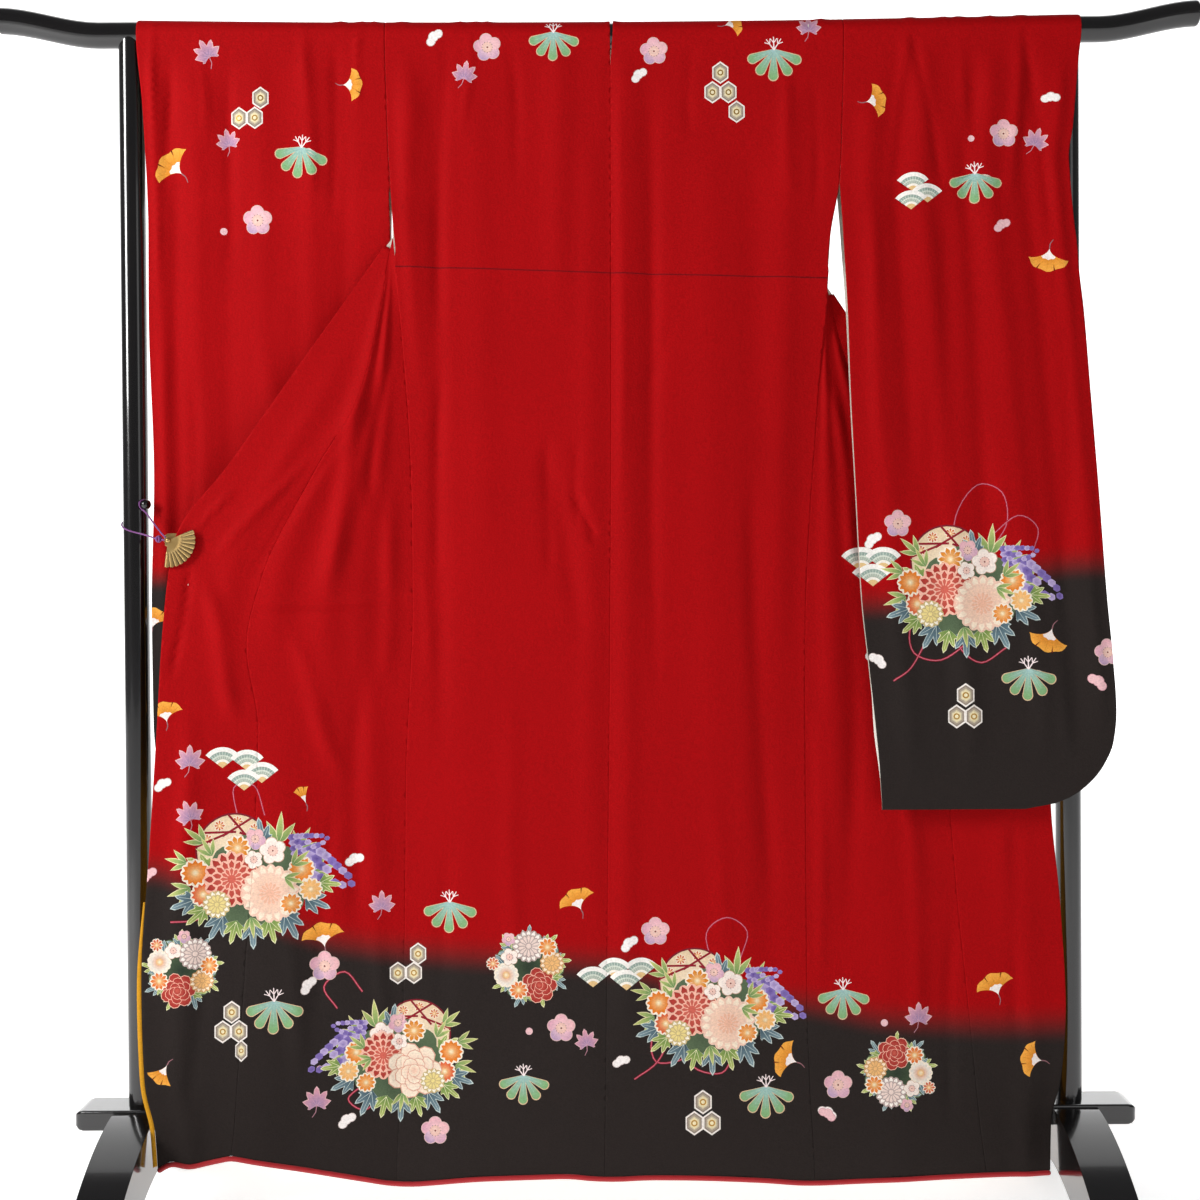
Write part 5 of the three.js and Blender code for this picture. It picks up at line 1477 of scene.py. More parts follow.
# %% Sleeves
def sleeve_outline(hand, rear):
    def inner_edge(s):
        return sleeve_edges(hand, rear, np.minimum(s, 1640))[0]

    def outer_edge(s):
        near, far = (-636, -634) if hand < 0 else (664, 655)
        angle = np.degrees((s - bar_z(near)) / CLOTH_RADIUS)
        if rear:
            angle = 180 - angle
        on_bar = lerp(near, far, smooth(60, 176, angle))
        return np.where(s > 1640, on_bar, sleeve_edges(hand, rear, np.minimum(s, 1640))[1])
    left, right = (outer_edge, inner_edge) if hand < 0 else (inner_edge, outer_edge)

    def low(x):
        return np.full(np.shape(x), float(SLEEVE_LOW[hand]))
    return flat_outline(left, right, low, top_edge)


def sleeve(hand):
    name = "sleeve_" + HAND_NAME[hand]
    seen = printed_patch(
        sleeve_outline(hand, False), lift_sleeve(hand, False), dyed(name), FRONT_PRINT)
    behind = printed_patch(
        sleeve_outline(hand, True), lift_sleeve(hand, True), dyed(name), REAR_PRINT, -1)
    piece = shell(name + "_silk", [seen, behind], plain(WHITE_LINING))
    return add_piece(piece, name)


sleeves = {hand: sleeve(hand) for hand in (-1, 1)}

# %% [markdown]
# ## Collar and hem
# The collar is a long double band sewn to both front edges and round the neck. It hangs behind
# the bar between the fronts and then follows each front edge down, behind the panel. Under the
# whole hem runs a padded roll of red lining, as thick as a pencil.

# %% Collar
NECK_LINE = {-1: ((-90, 1637), (-583, 940)), 1: ((90, 1637), (612, 830))}
COLLAR_LAST = {-1: 9.8, 1: 8.5}     # the section row where the collar ends
COLLAR = Table("share width behind", [
    [0, 52, 0], [0.24, 52, 0], [0.32, 40, 1], [0.39, 26, 2.6], [0.5, 34, 2.6], [0.62, 48, 2.6],
    [0.8, 50, 2.6], [0.97, 50, 2.6]])


def panel_back(hand, p):
    """Depth of the rearmost point of a front panel near each point of p."""
    row, u = np.meshgrid(np.arange(4.6, 10, 0.1), np.arange(0, 1.001, 0.05), indexing="ij")
    q = front_at(hand, row, u).reshape(-1, 3)
    gap = np.hypot(p[:, None, 0] - q[:, 0], p[:, None, 2] - q[:, 2])
    y = np.where(gap < 16, q[:, 1], -1e9).max(1)
    return np.where(y < -1e8, p[:, 1], y)


def collar_side(hand):
    neck, clip = NECK_LINE[hand]
    run = Vector((clip[0] - neck[0], 0, clip[1] - neck[1]))
    total = run.length
    inward = np.array([-hand * abs(run.z), 0, -abs(run.x)]) / total
    rows = []
    for r in np.arange(0.5, COLLAR_LAST[hand] + 0.01, 0.1):
        row = r + (min(1, (r - 3) / 3) if r > 3 and hand > 0 else 0)
        edge = np.array([FRONT[hand].read("o" + a, row) for a in "xyz"])
        share = math.hypot(edge[0] - neck[0], edge[2] - neck[1]) / total
        width, behind = float(COLLAR.read("width", share)), float(COLLAR.read("behind", share))
        away = SEAM + 0.3 + 1.2 * bell(share, 0.4, 0.14)
        p = edge + inward * (away + width * np.linspace(0, 1, 7))[:, None]
        deep = np.maximum(p[:, 1], panel_back(hand, p)) + behind
        p[:, 1] = lerp(p[:, 1], deep, smooth(0, 1, behind))
        rows.append(p)
    return rows


def facing_patch(grid, toward, colour):
    """A patch whose printed side faces +Y or -Y, with a spare row added at each end."""
    grid = np.concatenate([2 * grid[:1] - grid[1:2], grid, 2 * grid[-1:] - grid[-2:-1]])
    patch = grid_patch(grid, 1, ground_colour(colour))
    if patch["normals"][:, 1].mean() * toward < 0:
        patch = grid_patch(grid, -1, ground_colour(colour))
    return patch


def collar():
    rows = list(reversed(collar_side(-1)))
    for x in np.linspace(-78, 78, 17):
        y = 19.6 + 1.2 * smooth(90, 30, abs(x))
        rows.append(np.array([[x, y, lerp(1634, 1582, t)] for t in np.linspace(0, 1, 7)]))
    rows += collar_side(1)
    grid = np.array(rows)
    for _ in range(4):
        grid[1:-1, :, 1] = (grid[:-2, :, 1] + 2 * grid[1:-1, :, 1] + grid[2:, :, 1]) / 4
    patch = facing_patch(grid, 1, COLLAR_RED)
    return add_piece(shell("collar_silk", [patch], plain(WHITE_LINING)), "collar")


collar_band = collar()


# %% Hem roll and lining edges
HEM_RADIUS = 3.6
EDGE_WALL = 1.1


def tube(name, path, radius, sides, lay=0.0):
    """A closed tube along a path in millimetres, with rounded ends; lay twists three strands."""
    path = np.asarray(path, float)
    tangent = np.gradient(path, axis=0)
    tangent /= np.linalg.norm(tangent, axis=1, keepdims=True)
    up = np.array([0, 0, 1.0])
    rings = []
    a = 2 * np.pi * np.arange(sides) / sides
    run = np.concatenate([[0], np.cumsum(np.linalg.norm(np.diff(path, axis=0), axis=1))])
    ends = [(0, -0.9, 0.35), (0, -0.6, 0.8)]
    stations = ends + [(i, 0, 1) for i in range(len(path))] + [(-1, 0.6, 0.8), (-1, 0.9, 0.35)]
    for i, out, size in stations:
        t = tangent[i]
        side_way = np.cross(t, up)
        side_way /= np.linalg.norm(side_way)
        up = np.cross(side_way, t)
        strand = 1.0
        if lay:
            twist = 2 * np.pi * run[i] / (3 * lay)
            strand = (0.80 + 0.22 * np.abs(np.cos(1.5 * (a - twist))))[:, None]
        ring = radius * size * strand * (np.cos(a)[:, None] * side_way + np.sin(a)[:, None] * up)
        rings.append(path[i] + t * radius * out * 0.9 + ring)
    points = np.concatenate(rings)
    faces = []
    for i in range(len(rings) - 1):
        for j in range(sides):
            k = (j + 1) % sides
            faces.append((i * sides + j, i * sides + k, (i + 1) * sides + k, (i + 1) * sides + j))
    faces.append(tuple(range(sides))[::-1])
    faces.append(tuple((len(rings) - 1) * sides + j for j in range(sides)))
    mesh = bpy.data.meshes.new(name)
    mesh.from_pydata((points * MM).tolist(), [], faces)
    layer = bmesh.new()
    layer.from_mesh(mesh)
    bmesh.ops.recalc_face_normals(layer, faces=layer.faces)
    layer.to_mesh(mesh)
    layer.free()
    mesh.polygons.foreach_set("use_smooth", np.ones(len(faces), bool))
    return placed(name, mesh)


def hem_roll():
    drop = np.array([0, 0, WALL / 2 + 2.8])
    shares = np.linspace(0.99, 0.03, 60)
    left = front_at(-1, LAST[-1], shares) - drop
    right = front_at(1, LAST[1], shares[::-1]) - drop
    xs = np.concatenate([np.linspace(-275, -15, 30), np.linspace(15, 276, 30)])
    back = np.array([
        [x, float(back_y(-1 if x < 0 else 1, x, 60)), float(HEM.read("z", x))] for x in xs])
    path = np.concatenate([left, back - drop, right])
    for _ in range(2):
        path[1:-1] = (path[:-2] + 2 * path[1:-1] + path[2:]) / 4
    return add_piece(
        tube("hem_roll_silk", path, HEM_RADIUS, 12), "hem_roll")


def strip(name, rows, colour, node):
    patch = facing_patch(np.array(rows), -1, colour)
    return add_piece(shell(name, [patch], plain(colour), EDGE_WALL), node)


def gold_edge():
    rows = []
    for r in np.linspace(12.4, 15.8, 60):
        a, b = front_at(-1, r, 1.0), front_at(-1, r, 0.9)
        out = (a - b) / np.linalg.norm(a - b)
        width = 5 * smooth(12, 13.2, r) + 1
        rows.append([a + out * (0.5 + width * t) for t in (0, 0.5, 1)])
    return strip("lining_edge_gold", rows, "#cf9426", "lining_edge_left")


def white_edge():
    rows = []
    for z in np.linspace(612, 740, 33):
        x = sleeve_edges(1, False, z)[0]
        y = float(sleeve_y(1, False, x, z)) + WALL / 2 + SEAM + 0.55
        rows.append([np.array([x - 3 * bell(z, 670, 45) + 9 * t, y, z]) for t in (0, 0.5, 1)])
    return strip("sleeve_lining_edge", rows, "#e4dfd4", "sleeve_lining_right")


hem = hem_roll()
edges = [gold_edge(), white_edge()]
print("hem roll and two lining edges made")

# %% [markdown]
# ## The lacquer stand
# The stand is a round bar that turns up at both ends, two round posts with a saddle each, a flat
# beam low down, and two arched feet. Each part starts as a primitive, is cut across with bisect
# where it changes, and its points are set by the stand's own curves. Bevels catch the light.

# %% Stand tools
BRASS_WALL = 1.5


def start():
    if bpy.context.object and bpy.context.object.mode != "OBJECT":
        bpy.ops.object.mode_set(mode="OBJECT")
    bpy.ops.object.select_all(action="DESELECT")


def cut_across(stations, axis, origin=(0, 0, 0)):
    """Cuts the whole of the edited mesh at each station along an axis, in metres."""
    for value in stations:
        place, normal = list(origin), [0, 0, 0]
        place[axis], normal[axis] = value, 1
        bpy.ops.mesh.select_all(action="SELECT")
        bpy.ops.mesh.bisect(plane_co=place, plane_no=normal)


def settle(name, smooth_angle=40):
    """Ends the edit with the place in the mesh, normals outward and smooth sides."""
    bpy.ops.mesh.select_all(action="SELECT")
    bpy.ops.mesh.remove_doubles(threshold=1e-6)
    bpy.ops.mesh.normals_make_consistent(inside=False)
    bpy.ops.object.mode_set(mode="OBJECT")
    bpy.ops.object.transform_apply(location=True, rotation=True, scale=True)
    obj = bpy.context.object
    obj.name = name
    obj.data.name = name
    bpy.ops.object.shade_smooth_by_angle(angle=math.radians(smooth_angle))
    return obj


def block(place, size):
    """A box to cut, left in edit mode; place and size in metres."""
    start()
    bpy.ops.mesh.primitive_cube_add(size=1, location=place)
    bpy.ops.transform.resize(value=size)
    bpy.ops.object.transform_apply(location=True, rotation=True, scale=True)
    bpy.ops.object.mode_set(mode="EDIT")


def plate():
    """Gives the sheet that was just made the thickness of brass, and goes to edit mode."""
    thick = bpy.context.object.modifiers.new("plate", "SOLIDIFY")
    thick.thickness = BRASS_WALL * MM
    thick.offset = 0
    bpy.ops.object.modifier_apply(modifier=thick.name)
    bpy.ops.object.mode_set(mode="EDIT")


def bevel(obj, width, segments=3, angle=50):
    mod = obj.modifiers.new("edge", "BEVEL")
    mod.width = width * MM
    mod.segments = segments
    mod.limit_method = "ANGLE"
    mod.angle_limit = math.radians(angle)
    bpy.context.view_layer.objects.active = obj
    bpy.ops.object.modifier_apply(modifier=mod.name)
    bpy.ops.object.select_all(action="DESELECT")
    obj.select_set(True)
    bpy.ops.object.shade_smooth_by_angle(angle=math.radians(40))
    return obj


print("stand tools ready")


# %% Bar and posts
def stand_bar():
    start()
    bpy.ops.mesh.primitive_cylinder_add(
        vertices=64, radius=BAR["radius"] * MM, depth=2 * BAR["half"] * MM,
        location=(0, 0, BAR["axis"] * MM), rotation=(0, math.pi / 2, 0), enter_editmode=True)
    far = [642, 690, 705, 720, 735, 750, 765, 780, 795, 810, 822]
    near = [0, 125, 250, 375, 500, 580]
    cuts = sorted({v * k for v in near + far for k in (-1, 1)})
    cut_across([x * MM for x in cuts], 0, (0, 0, BAR["axis"] * MM))
    obj = settle("stand_bar_lacquer")
    for v in obj.data.vertices:
        v.co.z += (float(bar_z(v.co.x / MM)) - BAR["axis"]) * MM
    return add_piece(bevel(obj, 4, 5), "stand_bar")


def stand_post(name, x):
    start()
    low, top = BEAM["high"] + 0.3, 1622
    bpy.ops.mesh.primitive_cylinder_add(
        vertices=64, radius=POST["radius"] * MM, depth=(top - low) * MM,
        location=(x * MM, 0, (top + low) / 2 * MM), enter_editmode=True)
    cut_across([0.9], 2)
    obj = settle(name + "_lacquer")
    saddle = BAR["radius"] + 0.5
    for v in obj.data.vertices:
        if v.co.z > 1.5:
            y = v.co.y / MM
            v.co.z = (float(bar_z(x)) - math.sqrt(saddle**2 - y * y)) * MM
    return add_piece(obj, name)


stand = [stand_bar()]
stand += [stand_post("stand_post_" + HAND_NAME[hand], hand * POST["x"]) for hand in (-1, 1)]
print("bar and posts stand")


# %% Beam and feet
def stand_beam():
    middle = (BEAM["low"] + BEAM["high"]) / 2
    block((0, 0, middle * MM), (
        2 * BEAM["half"] * MM, 2 * BEAM["y"] * MM, (BEAM["high"] - BEAM["low"]) * MM))
    taper = [(0, 9, 7), (2, 5, 4), (6, 1.5, 1.2), (12, 0, 0)]
    cut_across([k * (BEAM["half"] - e) * MM for e, _, _ in taper[1:] for k in (-1, 1)], 0)
    obj = settle("stand_beam_lacquer")
    for v in obj.data.vertices:
        end = BEAM["half"] - abs(v.co.x) / MM
        for e, in_y, in_z in taper:
            if abs(end - e) < 0.5:
                v.co.y -= math.copysign(in_y * MM, v.co.y)
                v.co.z -= math.copysign(in_z * MM, v.co.z - middle * MM)
    return add_piece(bevel(obj, 3, 4, 60), "stand_beam")


def foot_top(y):
    end = FOOT["half"] - abs(y)
    return 155 - 1.22e-3 * y * y - (10 * (1 - end / 25) ** 2 if end < 25 else 0)


def foot_low(y):
    return max(0, 78 - 1.41e-3 * y * y)


def stand_foot(name, x):
    block((x * MM, 0, 0.08), (FOOT["width"] * MM, 2 * FOOT["half"] * MM, 0.15))
    notch = BEAM["y"] + 0.5
    inner = [0, notch - 0.15, notch + 0.05]
    outer = list(range(50, 236, 15)) + [245, 255, 262, 268, 274, 277]
    cut_across(sorted({k * v * MM for v in inner + outer for k in (-1, 1)}), 1, (x * MM, 0, 0))
    obj = settle(name + "_lacquer")
    for v in obj.data.vertices:
        y, top = v.co.y / MM, v.co.z > 0.08
        in_notch = abs(y) < notch
        v.co.z = ((BEAM["low"] - 0.3 if in_notch else foot_top(y)) if top else foot_low(y)) * MM
        end = FOOT["half"] - abs(y)
        if end < 12:
            v.co.x -= math.copysign(4 * (1 - end / 12) ** 2 * MM, v.co.x - x * MM)
    return add_piece(bevel(obj, 4, 4, 60), name)


stand.append(stand_beam())
stand += [stand_foot("stand_foot_" + HAND_NAME[hand], hand * FOOT["x"]) for hand in (-1, 1)]
print("beam and feet stand")

# %% [markdown]
# ## The clip and its cord
# A lacquer knob sits on the left post. A purple cord runs from the fan round the post, over the
# knob and straight back to the clip, a folding fan of brass that holds the left front out. It has
# eleven leaves with grooves between them, a plain half disc near its pivot, and a scalloped rim.

# %% Clip sizes
FAN = {"x": -590.0, "y": -54.9, "z": 942.0, "rim": 37.4, "leaves": 11, "first": 22.0, "last": -98.0}
KNOB_WAY = (math.sqrt(0.5), -math.sqrt(0.5), 0.0)
KNOB = [(0.9, 3.8), (1.3, 4.0), (3.6, 4.0), (4.2, 4.9), (5.0, 5.9), (6.2, 6.5), (8.0, 6.9),
        (10.0, 6.8), (12.0, 6.0), (13.0, 4.6), (13.5, 2.6)]
CORD_RADIUS, CORD_LAY = 1.2, 3.6
POST_TURN = 19.3                # the cord's middle runs this far from the post's axis
TURNS = Table("degrees z", [
    [-388, 998], [-372, 997.2], [-338, 991.6], [-272, 981], [-180, 967], [-135, 960], [-112, 957]])
CORD_START = [(-608.4, -50.3, 944.4), (-621, -35, 948), (-634, -23, 951.4), (-645, -19.3, 954)]
CORD_REST = [
    (-632.7, -14.3, 998.4), (-636.8, -18.4, 995.8), (-637.4, -19, 991), (-635.6, -17.2, 986.6),
    (-632.2, -16.6, 983.8), (-626, -23, 978.5), (-614, -37, 966), (-600, -53, 952),
    (-593.2, -57.7, 945.8)]
CORD_TIP = [(-594.9, -57.5, 942.1), (-596.6, -56.6, 942.4), (-598.2, -55.7, 942.7)]


def cord_route():
    turns = np.arange(-112, -389, -23)
    round_post = [
        (-POST["x"] + POST_TURN * math.cos(math.radians(a)), POST_TURN * math.sin(math.radians(a)),
         float(TURNS.read("z", a))) for a in turns]
    return CORD_START + round_post + CORD_REST


def fine(points, step=0.8):
    """A smooth route with even steps."""
    line = curve(points, 24)
    along = np.concatenate([[0], np.cumsum(np.linalg.norm(np.diff(line, axis=0), axis=1))])
    at = np.linspace(0, along[-1], max(3, int(along[-1] / step)))
    return np.stack([np.interp(at, along, line[:, k]) for k in range(3)], -1)


print("cord route has", len(cord_route()), "points")


# %% Turned brass and knob
def turned_piece(name, profile, place, way, sides=48):
    """A turned piece; the profile is (distance along its way, radius) in millimetres."""
    start()
    first, last = profile[0][0], profile[-1][0]
    bpy.ops.mesh.primitive_cylinder_add(
        vertices=sides, radius=MM, depth=(last - first) * MM,
        location=(0, 0, (first + last) / 2 * MM), enter_editmode=True)
    cut_across([d * MM for d, _ in profile[1:-1]], 2)
    obj = settle(name, 50)
    for v in obj.data.vertices:
        radius = np.interp(v.co.z / MM, *zip(*profile))
        v.co.x *= radius
        v.co.y *= radius
    obj.data.transform(Vector(way).to_track_quat("Z", "Y").to_matrix().to_4x4())
    obj.data.transform(Matrix.Translation(Vector(place) * MM))
    return obj


post_side = Vector((-POST["x"], 0, 992)) + Vector(KNOB_WAY) * POST["radius"]
knob = add_piece(
    turned_piece("stand_knob_lacquer", KNOB, post_side, KNOB_WAY), "stand_knob")
pin = add_piece(
    turned_piece("clip_pin_brass", [(0, 1.2), (0.5, 1.5), (8.7, 1.5), (9.2, 1.2)], (-593.2, -43.9, 943),
                 (0, -1, 0), 24), "clip_pin")
pivot = add_piece(
    turned_piece("clip_pivot_brass", [(0, 3.4), (0.7, 3.4), (1.2, 3.1), (1.7, 2.5), (2.2, 1.5)],
                 (FAN["x"], -56.2, FAN["z"]), (0, -1, 0), 32), "clip_pivot")
print("knob, pin and pivot turned")


# %% Fan
def leaf_phase(angle):
    """-1 to 1 across one leaf of the fan."""
    part = (angle - FAN["first"]) / (FAN["last"] - FAN["first"]) * FAN["leaves"]
    return 2 * (part - np.floor(part)) - 1


def fan():
    start()
    across, out = FAN["leaves"] * 10, 18
    bpy.ops.mesh.primitive_grid_add(x_subdivisions=across, y_subdivisions=out, size=1)
    obj = bpy.context.object
    obj.name = obj.data.name = "clip_fan_brass"
    for v in obj.data.vertices:
        u, r = v.co.x + 0.5, v.co.y + 0.5
        angle = lerp(FAN["first"], FAN["last"], u)
        phase = leaf_phase(min(max(angle, FAN["last"] + 0.01), FAN["first"] - 0.01))
        reach = lerp(2.5, FAN["rim"] - 1.8 * phase**2, r**0.9)
        share = reach / FAN["rim"]
        pleated = smooth(0.47, 0.52, share)
        height = 0.9 * pleated * (1 - abs(phase) ** 3.0) + 0.7 * bell(share, 0.45, 0.035)
        x, z = heading(angle, reach, (FAN["x"], FAN["z"]))
        v.co = Vector((x, FAN["y"] - height, z)) * MM
    plate()
    obj = settle("clip_fan_brass", 35)
    groove = obj.data.attributes.new("groove", "FLOAT", "POINT")
    values = []
    for v in obj.data.vertices:
        x, z = v.co.x / MM - FAN["x"], v.co.z / MM - FAN["z"]
        angle = math.degrees(math.atan2(z, x))
        share = math.hypot(x, z) / FAN["rim"]
        dark = smooth(0.62, 0.95, abs(leaf_phase(angle))) * smooth(0.48, 0.53, share)
        values.append(float(max(dark, 0.5 * bell(share, 0.51, 0.025))))
    groove.data.foreach_set("value", values)
    return obj


clip_fan = add_piece(fan(), "clip_fan")
print("fan with", FAN["leaves"], "leaves:", len(clip_fan.data.polygons), "faces")


# %% Back plate
BACK_PLATE = [(-597, 935), (-578, 925), (-561, 931), (-563, 943), (-580, 951), (-597, 949)]


def back_plate():
    start()
    ring = curve(BACK_PLATE + BACK_PLATE[:1], 6)[:-1]
    bpy.ops.mesh.primitive_circle_add(vertices=len(ring), radius=1, fill_type="NGON")
    obj = bpy.context.object
    for v, (x, z) in zip(obj.data.vertices, ring):
        v.co = Vector((x, -42.8, z)) * MM
    plate()
    return bevel(settle("clip_back_brass"), 0.4)


clip_back = add_piece(back_plate(), "clip_back")
print("back plate:", len(clip_back.data.polygons), "faces")


# %% Cord, tip and knot
def knot_route():
    """A ball of wound cord at the end of the cord."""
    t = np.linspace(0, 1, 260)
    lean, spin = 2 * np.pi * 6.3 * t, np.pi * 2.6 * t
    round_ = np.stack([np.cos(lean) * np.cos(spin), np.cos(lean) * np.sin(spin), np.sin(lean)], -1)
    return np.array([-603.4, -53.2, 943.6]) + 3.7 * round_


cord_line = cord_route()
cord = add_piece(
    tube("clip_cord_silk", fine(cord_line), CORD_RADIUS, 12, CORD_LAY), "clip_cord")
cord_tip = add_piece(
    tube("clip_cord_tip_silk", fine(CORD_TIP, 0.5), CORD_RADIUS, 12, CORD_LAY), "clip_cord_end")
knot = add_piece(
    tube("clip_knot_silk", knot_route(), 1.35, 10, CORD_LAY), "clip_knot")
length = float(np.linalg.norm(np.diff(fine(cord_line), axis=0), axis=1).sum()) * MM
tuple(v * MM for v in cord_line[-1])
[tuple(v * MM for v in p) for p in cord_line]
print("cord is", round(length, 3), "m long")

# %% [markdown]
# ## Shader maths
# A small class wraps a shader socket, so that a value can be written as a sum or a product in
# plain Python. Each finish is built with one method, which takes a node's type, its settings and
# the values or links of its sockets.

# %% Shader tools
class Value:
    """A number that changes over a surface."""

    def __init__(self, finish, socket):
        self.finish, self.socket = finish, socket

    def maths(self, operation, a, b):
        return self.finish.add("ShaderNodeMath", {"operation": operation}, {0: a, 1: b})

    def __add__(self, other):
        return self.maths("ADD", self, other)

    def __radd__(self, other):
        return self.maths("ADD", other, self)

    def __sub__(self, other):
        return self.maths("SUBTRACT", self, other)

    def __rsub__(self, other):
        return self.maths("SUBTRACT", other, self)

    def __mul__(self, other):
        return self.maths("MULTIPLY", self, other)

    def __rmul__(self, other):
        return self.maths("MULTIPLY", other, self)


class Finish:
    """A material with one principled shader."""

    def __init__(self, name):
        self.material = bpy.data.materials.new(name)
        self.material.use_nodes = True
        self.tree = self.material.node_tree
        self.tree.nodes.clear()
        self.shader = self.tree.nodes.new("ShaderNodeBsdfPrincipled")
        out = self.tree.nodes.new("ShaderNodeOutputMaterial")
        self.tree.links.new(self.shader.outputs[0], out.inputs[0])

    def fill(self, node, inputs):
        for key, value in inputs.items():
            if isinstance(value, Value):
                self.tree.links.new(value.socket, node.inputs[key])
            else:
                node.inputs[key].default_value = value

    def add(self, kind, settings=None, inputs=None, output=0):
        node = self.tree.nodes.new(kind)
        for key, value in (settings or {}).items():
            setattr(node, key, value)
        self.fill(node, inputs or {})
        return Value(self, node.outputs[output])

    def surface(self, **inputs):
        self.fill(self.shader, {key.replace("_", " "): value for key, value in inputs.items()})
        return self.material

    def place(self):
        return self.add("ShaderNodeTexCoord", output="Object")

    def attribute(self, name, output):
        return self.add("ShaderNodeAttribute", {"attribute_name": name}, {}, output)

    def noise(self, vector, scale, detail=2.0, roughness=0.5):
        return self.add("ShaderNodeTexNoise", {}, {
            "Vector": vector, "Scale": scale, "Detail": detail, "Roughness": roughness}, "Fac")

    def stretch(self, vector, upright):
        return self.add("ShaderNodeMapping", {}, {"Vector": vector, "Scale": (1.0, 1.0, upright)})

    def blend(self, factor, a, b):
        return self.add("ShaderNodeMix", {"data_type": "RGBA"}, {0: factor, 6: a, 7: b}, 2)

    def bump(self, height, strength, distance):
        return self.add("ShaderNodeBump", {}, {
            "Height": height, "Strength": strength, "Distance": distance})


def rgba(text):
    return (*dye(text), 1.0)


print("shader tools ready")

# %% [markdown]
# ## Silk, lining and trim
# The outside is crepe silk: fine irregular grain, a soft sheen, and colours from the print. The
# fourth channel of the print turns metal where gold leaf lies. The lining is smooth plain silk.

# %% Silk finishes
def crepe_silk():
    f = Finish("crepe silk")
    here = f.place()
    printed, leaf = f.attribute("print", "Color"), f.attribute("print", "Alpha")
    grain = f.noise(f.stretch(here, 1.3), 380, 2.0, 0.6)
    slub = f.noise(f.stretch(here, 0.25), 160)
    cloud = f.noise(here, 7.0)
    shade = 0.62 + grain * 0.60 + slub * 0.06 + cloud * 0.10
    colour = f.add("ShaderNodeVectorMath", {"operation": "SCALE"}, {0: printed, "Scale": shade})
    height = grain * 0.7 + slub * 0.3
    return f.surface(
        Base_Color=colour, Roughness=0.70 - leaf * 0.30 + grain * 0.08, Metallic=leaf * 0.85,
        Specular_IOR_Level=0.06, Sheen_Weight=0.01, Sheen_Roughness=0.4,
        Normal=f.bump(height, 0.55, 0.0012))


def lining_silk():
    f = Finish("lining silk")
    here = f.place()
    printed = f.attribute("print", "Color")
    grain = f.noise(f.stretch(here, 0.2), 700)
    shade = 0.93 + grain * 0.1
    colour = f.add("ShaderNodeVectorMath", {"operation": "SCALE"}, {0: printed, "Scale": shade})
    return f.surface(
        Base_Color=colour, Roughness=0.5 + grain * 0.1, Specular_IOR_Level=0.4,
        Sheen_Weight=0.15, Normal=f.bump(grain, 0.2, 0.0004))


def lacquer():
    f = Finish("black lacquer")
    here = f.place()
    ripple = f.noise(here, 9.0)
    dust = f.noise(here, 420.0, 3.0, 0.6)
    return f.surface(
        Base_Color=f.blend(ripple, rgba("#060506"), rgba("#100d0d")),
        Roughness=0.12 + dust * 0.08, Coat_Weight=0.6, Coat_Roughness=0.06,
        Specular_IOR_Level=0.5, Normal=f.bump(ripple, 0.05, 0.002))


def padded_red():
    f = Finish("red hem silk")
    here = f.place()
    grain = f.noise(here, 800, 2.0, 0.6)
    return f.surface(
        Base_Color=f.blend(grain, rgba("#9c0c16"), rgba("#c0141d")), Roughness=0.55,
        Sheen_Weight=0.2, Normal=f.bump(grain, 0.3, 0.0005))


def brass():
    f = Finish("satin brass")
    here = f.place()
    brushed = f.noise(f.stretch(here, 0.3), 900, 3.0, 0.6)
    tarnish = f.noise(here, 60.0, 3.0, 0.5)
    deep = f.attribute("groove", "Fac")
    metal = f.blend(tarnish, rgba("#b08a4e"), rgba("#d9bd84"))
    return f.surface(
        Base_Color=f.blend(deep, metal, rgba("#2e2214")), Metallic=0.95 - deep * 0.4,
        Roughness=0.28 + brushed * 0.14 + deep * 0.3, Normal=f.bump(brushed, 0.15, 0.0003))


def purple_silk():
    f = Finish("purple cord silk")
    here = f.place()
    fibre = f.noise(here, 1500.0, 3.0, 0.6)
    patch = f.noise(here, 180.0)
    tone = f.blend(patch, rgba("#3a1650"), rgba("#6d2a72"))
    return f.surface(
        Base_Color=f.blend(fibre, tone, rgba("#8f4a93")), Roughness=0.6, Sheen_Weight=0.35,
        Sheen_Roughness=0.4, Normal=f.bump(fibre, 0.5, 0.0004))


SILK, LINING, LACQUER, HEM_SILK = crepe_silk(), lining_silk(), lacquer(), padded_red()
BRASS, PURPLE = brass(), purple_silk()


def dress(obj, *materials):
    obj.data.materials.clear()
    for m in materials:
        obj.data.materials.append(m)


for piece in [*bodies.values(), *overlaps.values(), *sleeves.values(), collar_band, *edges]:
    dress(piece, SILK, LINING)
for piece in [*stand, knob]:
    dress(piece, LACQUER)
for piece in (clip_fan, clip_back, pin, pivot):
    dress(piece, BRASS)
for piece in (cord, cord_tip, knot):
    dress(piece, PURPLE)
dress(hem, HEM_SILK)
print("finishes laid")

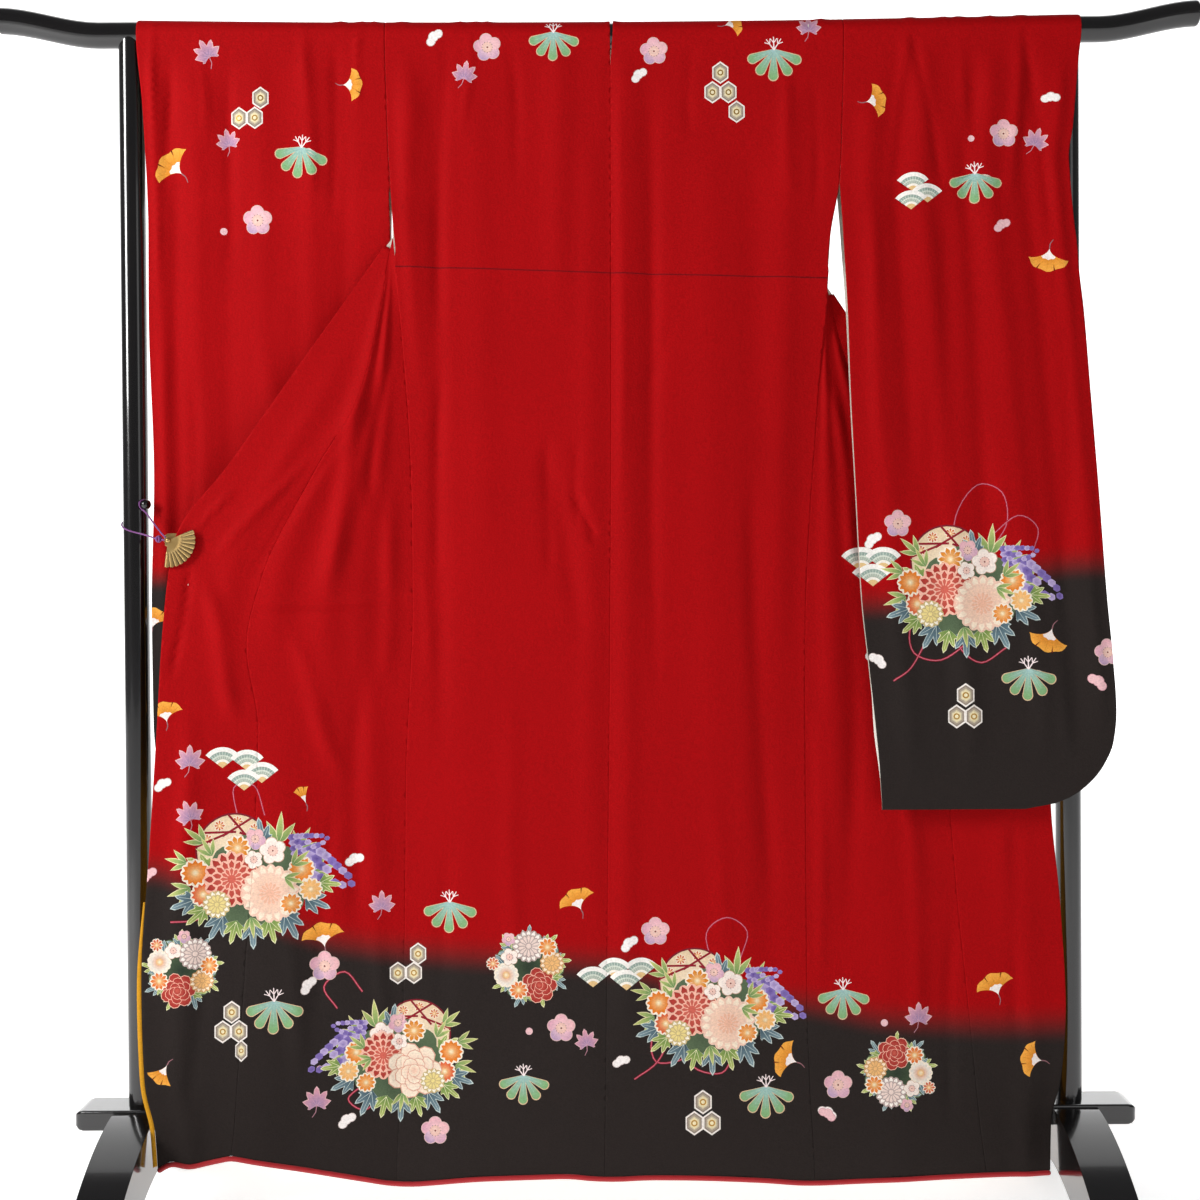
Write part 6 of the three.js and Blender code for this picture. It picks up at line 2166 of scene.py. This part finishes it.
# %% [markdown]
# ## Light and floor
# One strong soft light stands on the left, almost beside the cloth, so each shallow fold has a lit
# side and a dark one. A weak light on the right and a pale room fill the shadows, and the lacquer
# takes long streaks. White paper lies below and stands behind, bright enough to stay plain white.

# %% Floor and lights
FLOOR_GLOW, BACKDROP_GLOW = 0.62, 0.92
ROOM_LIGHT = 0.16
start()
bpy.ops.mesh.primitive_plane_add(size=20, location=(0, 0, 0))
floor = bpy.context.object
floor.name = "floor"
start()
bpy.ops.mesh.primitive_plane_add(size=20, location=(0, 7, 5), rotation=(math.pi / 2, 0, 0))
backdrop = bpy.context.object
backdrop.name = "backdrop"


def white_paper(name, glow):
    f = Finish(name)
    dust = f.noise(f.place(), 3.0)
    return f.surface(
        Base_Color=f.blend(dust, rgba("#f4f4f4"), rgba("#fbfbfb")), Roughness=0.9,
        Specular_IOR_Level=0.0, Emission_Color=(1, 1, 1, 1), Emission_Strength=glow)


dress(floor, white_paper("white floor", FLOOR_GLOW))
dress(backdrop, white_paper("white backdrop", BACKDROP_GLOW))


def soft_light(name, place, aim, size, power):
    light = bpy.data.lights.new(name, "AREA")
    light.shape, light.size, light.size_y, light.energy = "RECTANGLE", size[0], size[1], power
    obj = placed(name, light)
    obj.location = place
    obj.rotation_euler = (Vector(aim) - Vector(place)).to_track_quat("-Z", "Y").to_euler()
    return obj


soft_light("key", (-3.1, -1.9, 2.2), (0, 0, 0.95), (0.8, 1.6), 120)
soft_light("fill", (2.6, -2.8, 1.3), (0, 0, 0.8), (1.2, 2.0), 8)
world = bpy.data.worlds.new("room")
bpy.context.scene.world = world
world.use_nodes = True
room = world.node_tree.nodes["Background"]
room.inputs["Color"].default_value = (0.95, 0.96, 0.98, 1)
room.inputs["Strength"].default_value = ROOM_LIGHT
bpy.context.scene.view_settings.view_transform = "Standard"
print("lights set")

# %% [markdown]
# ## What the cloth was cut to
# Widths are those of kimono cloth, about 36 cm from selvedge to selvedge,
# less the seams.

# %% Cloth facts
print("kimono cloth is about 36 cm wide")
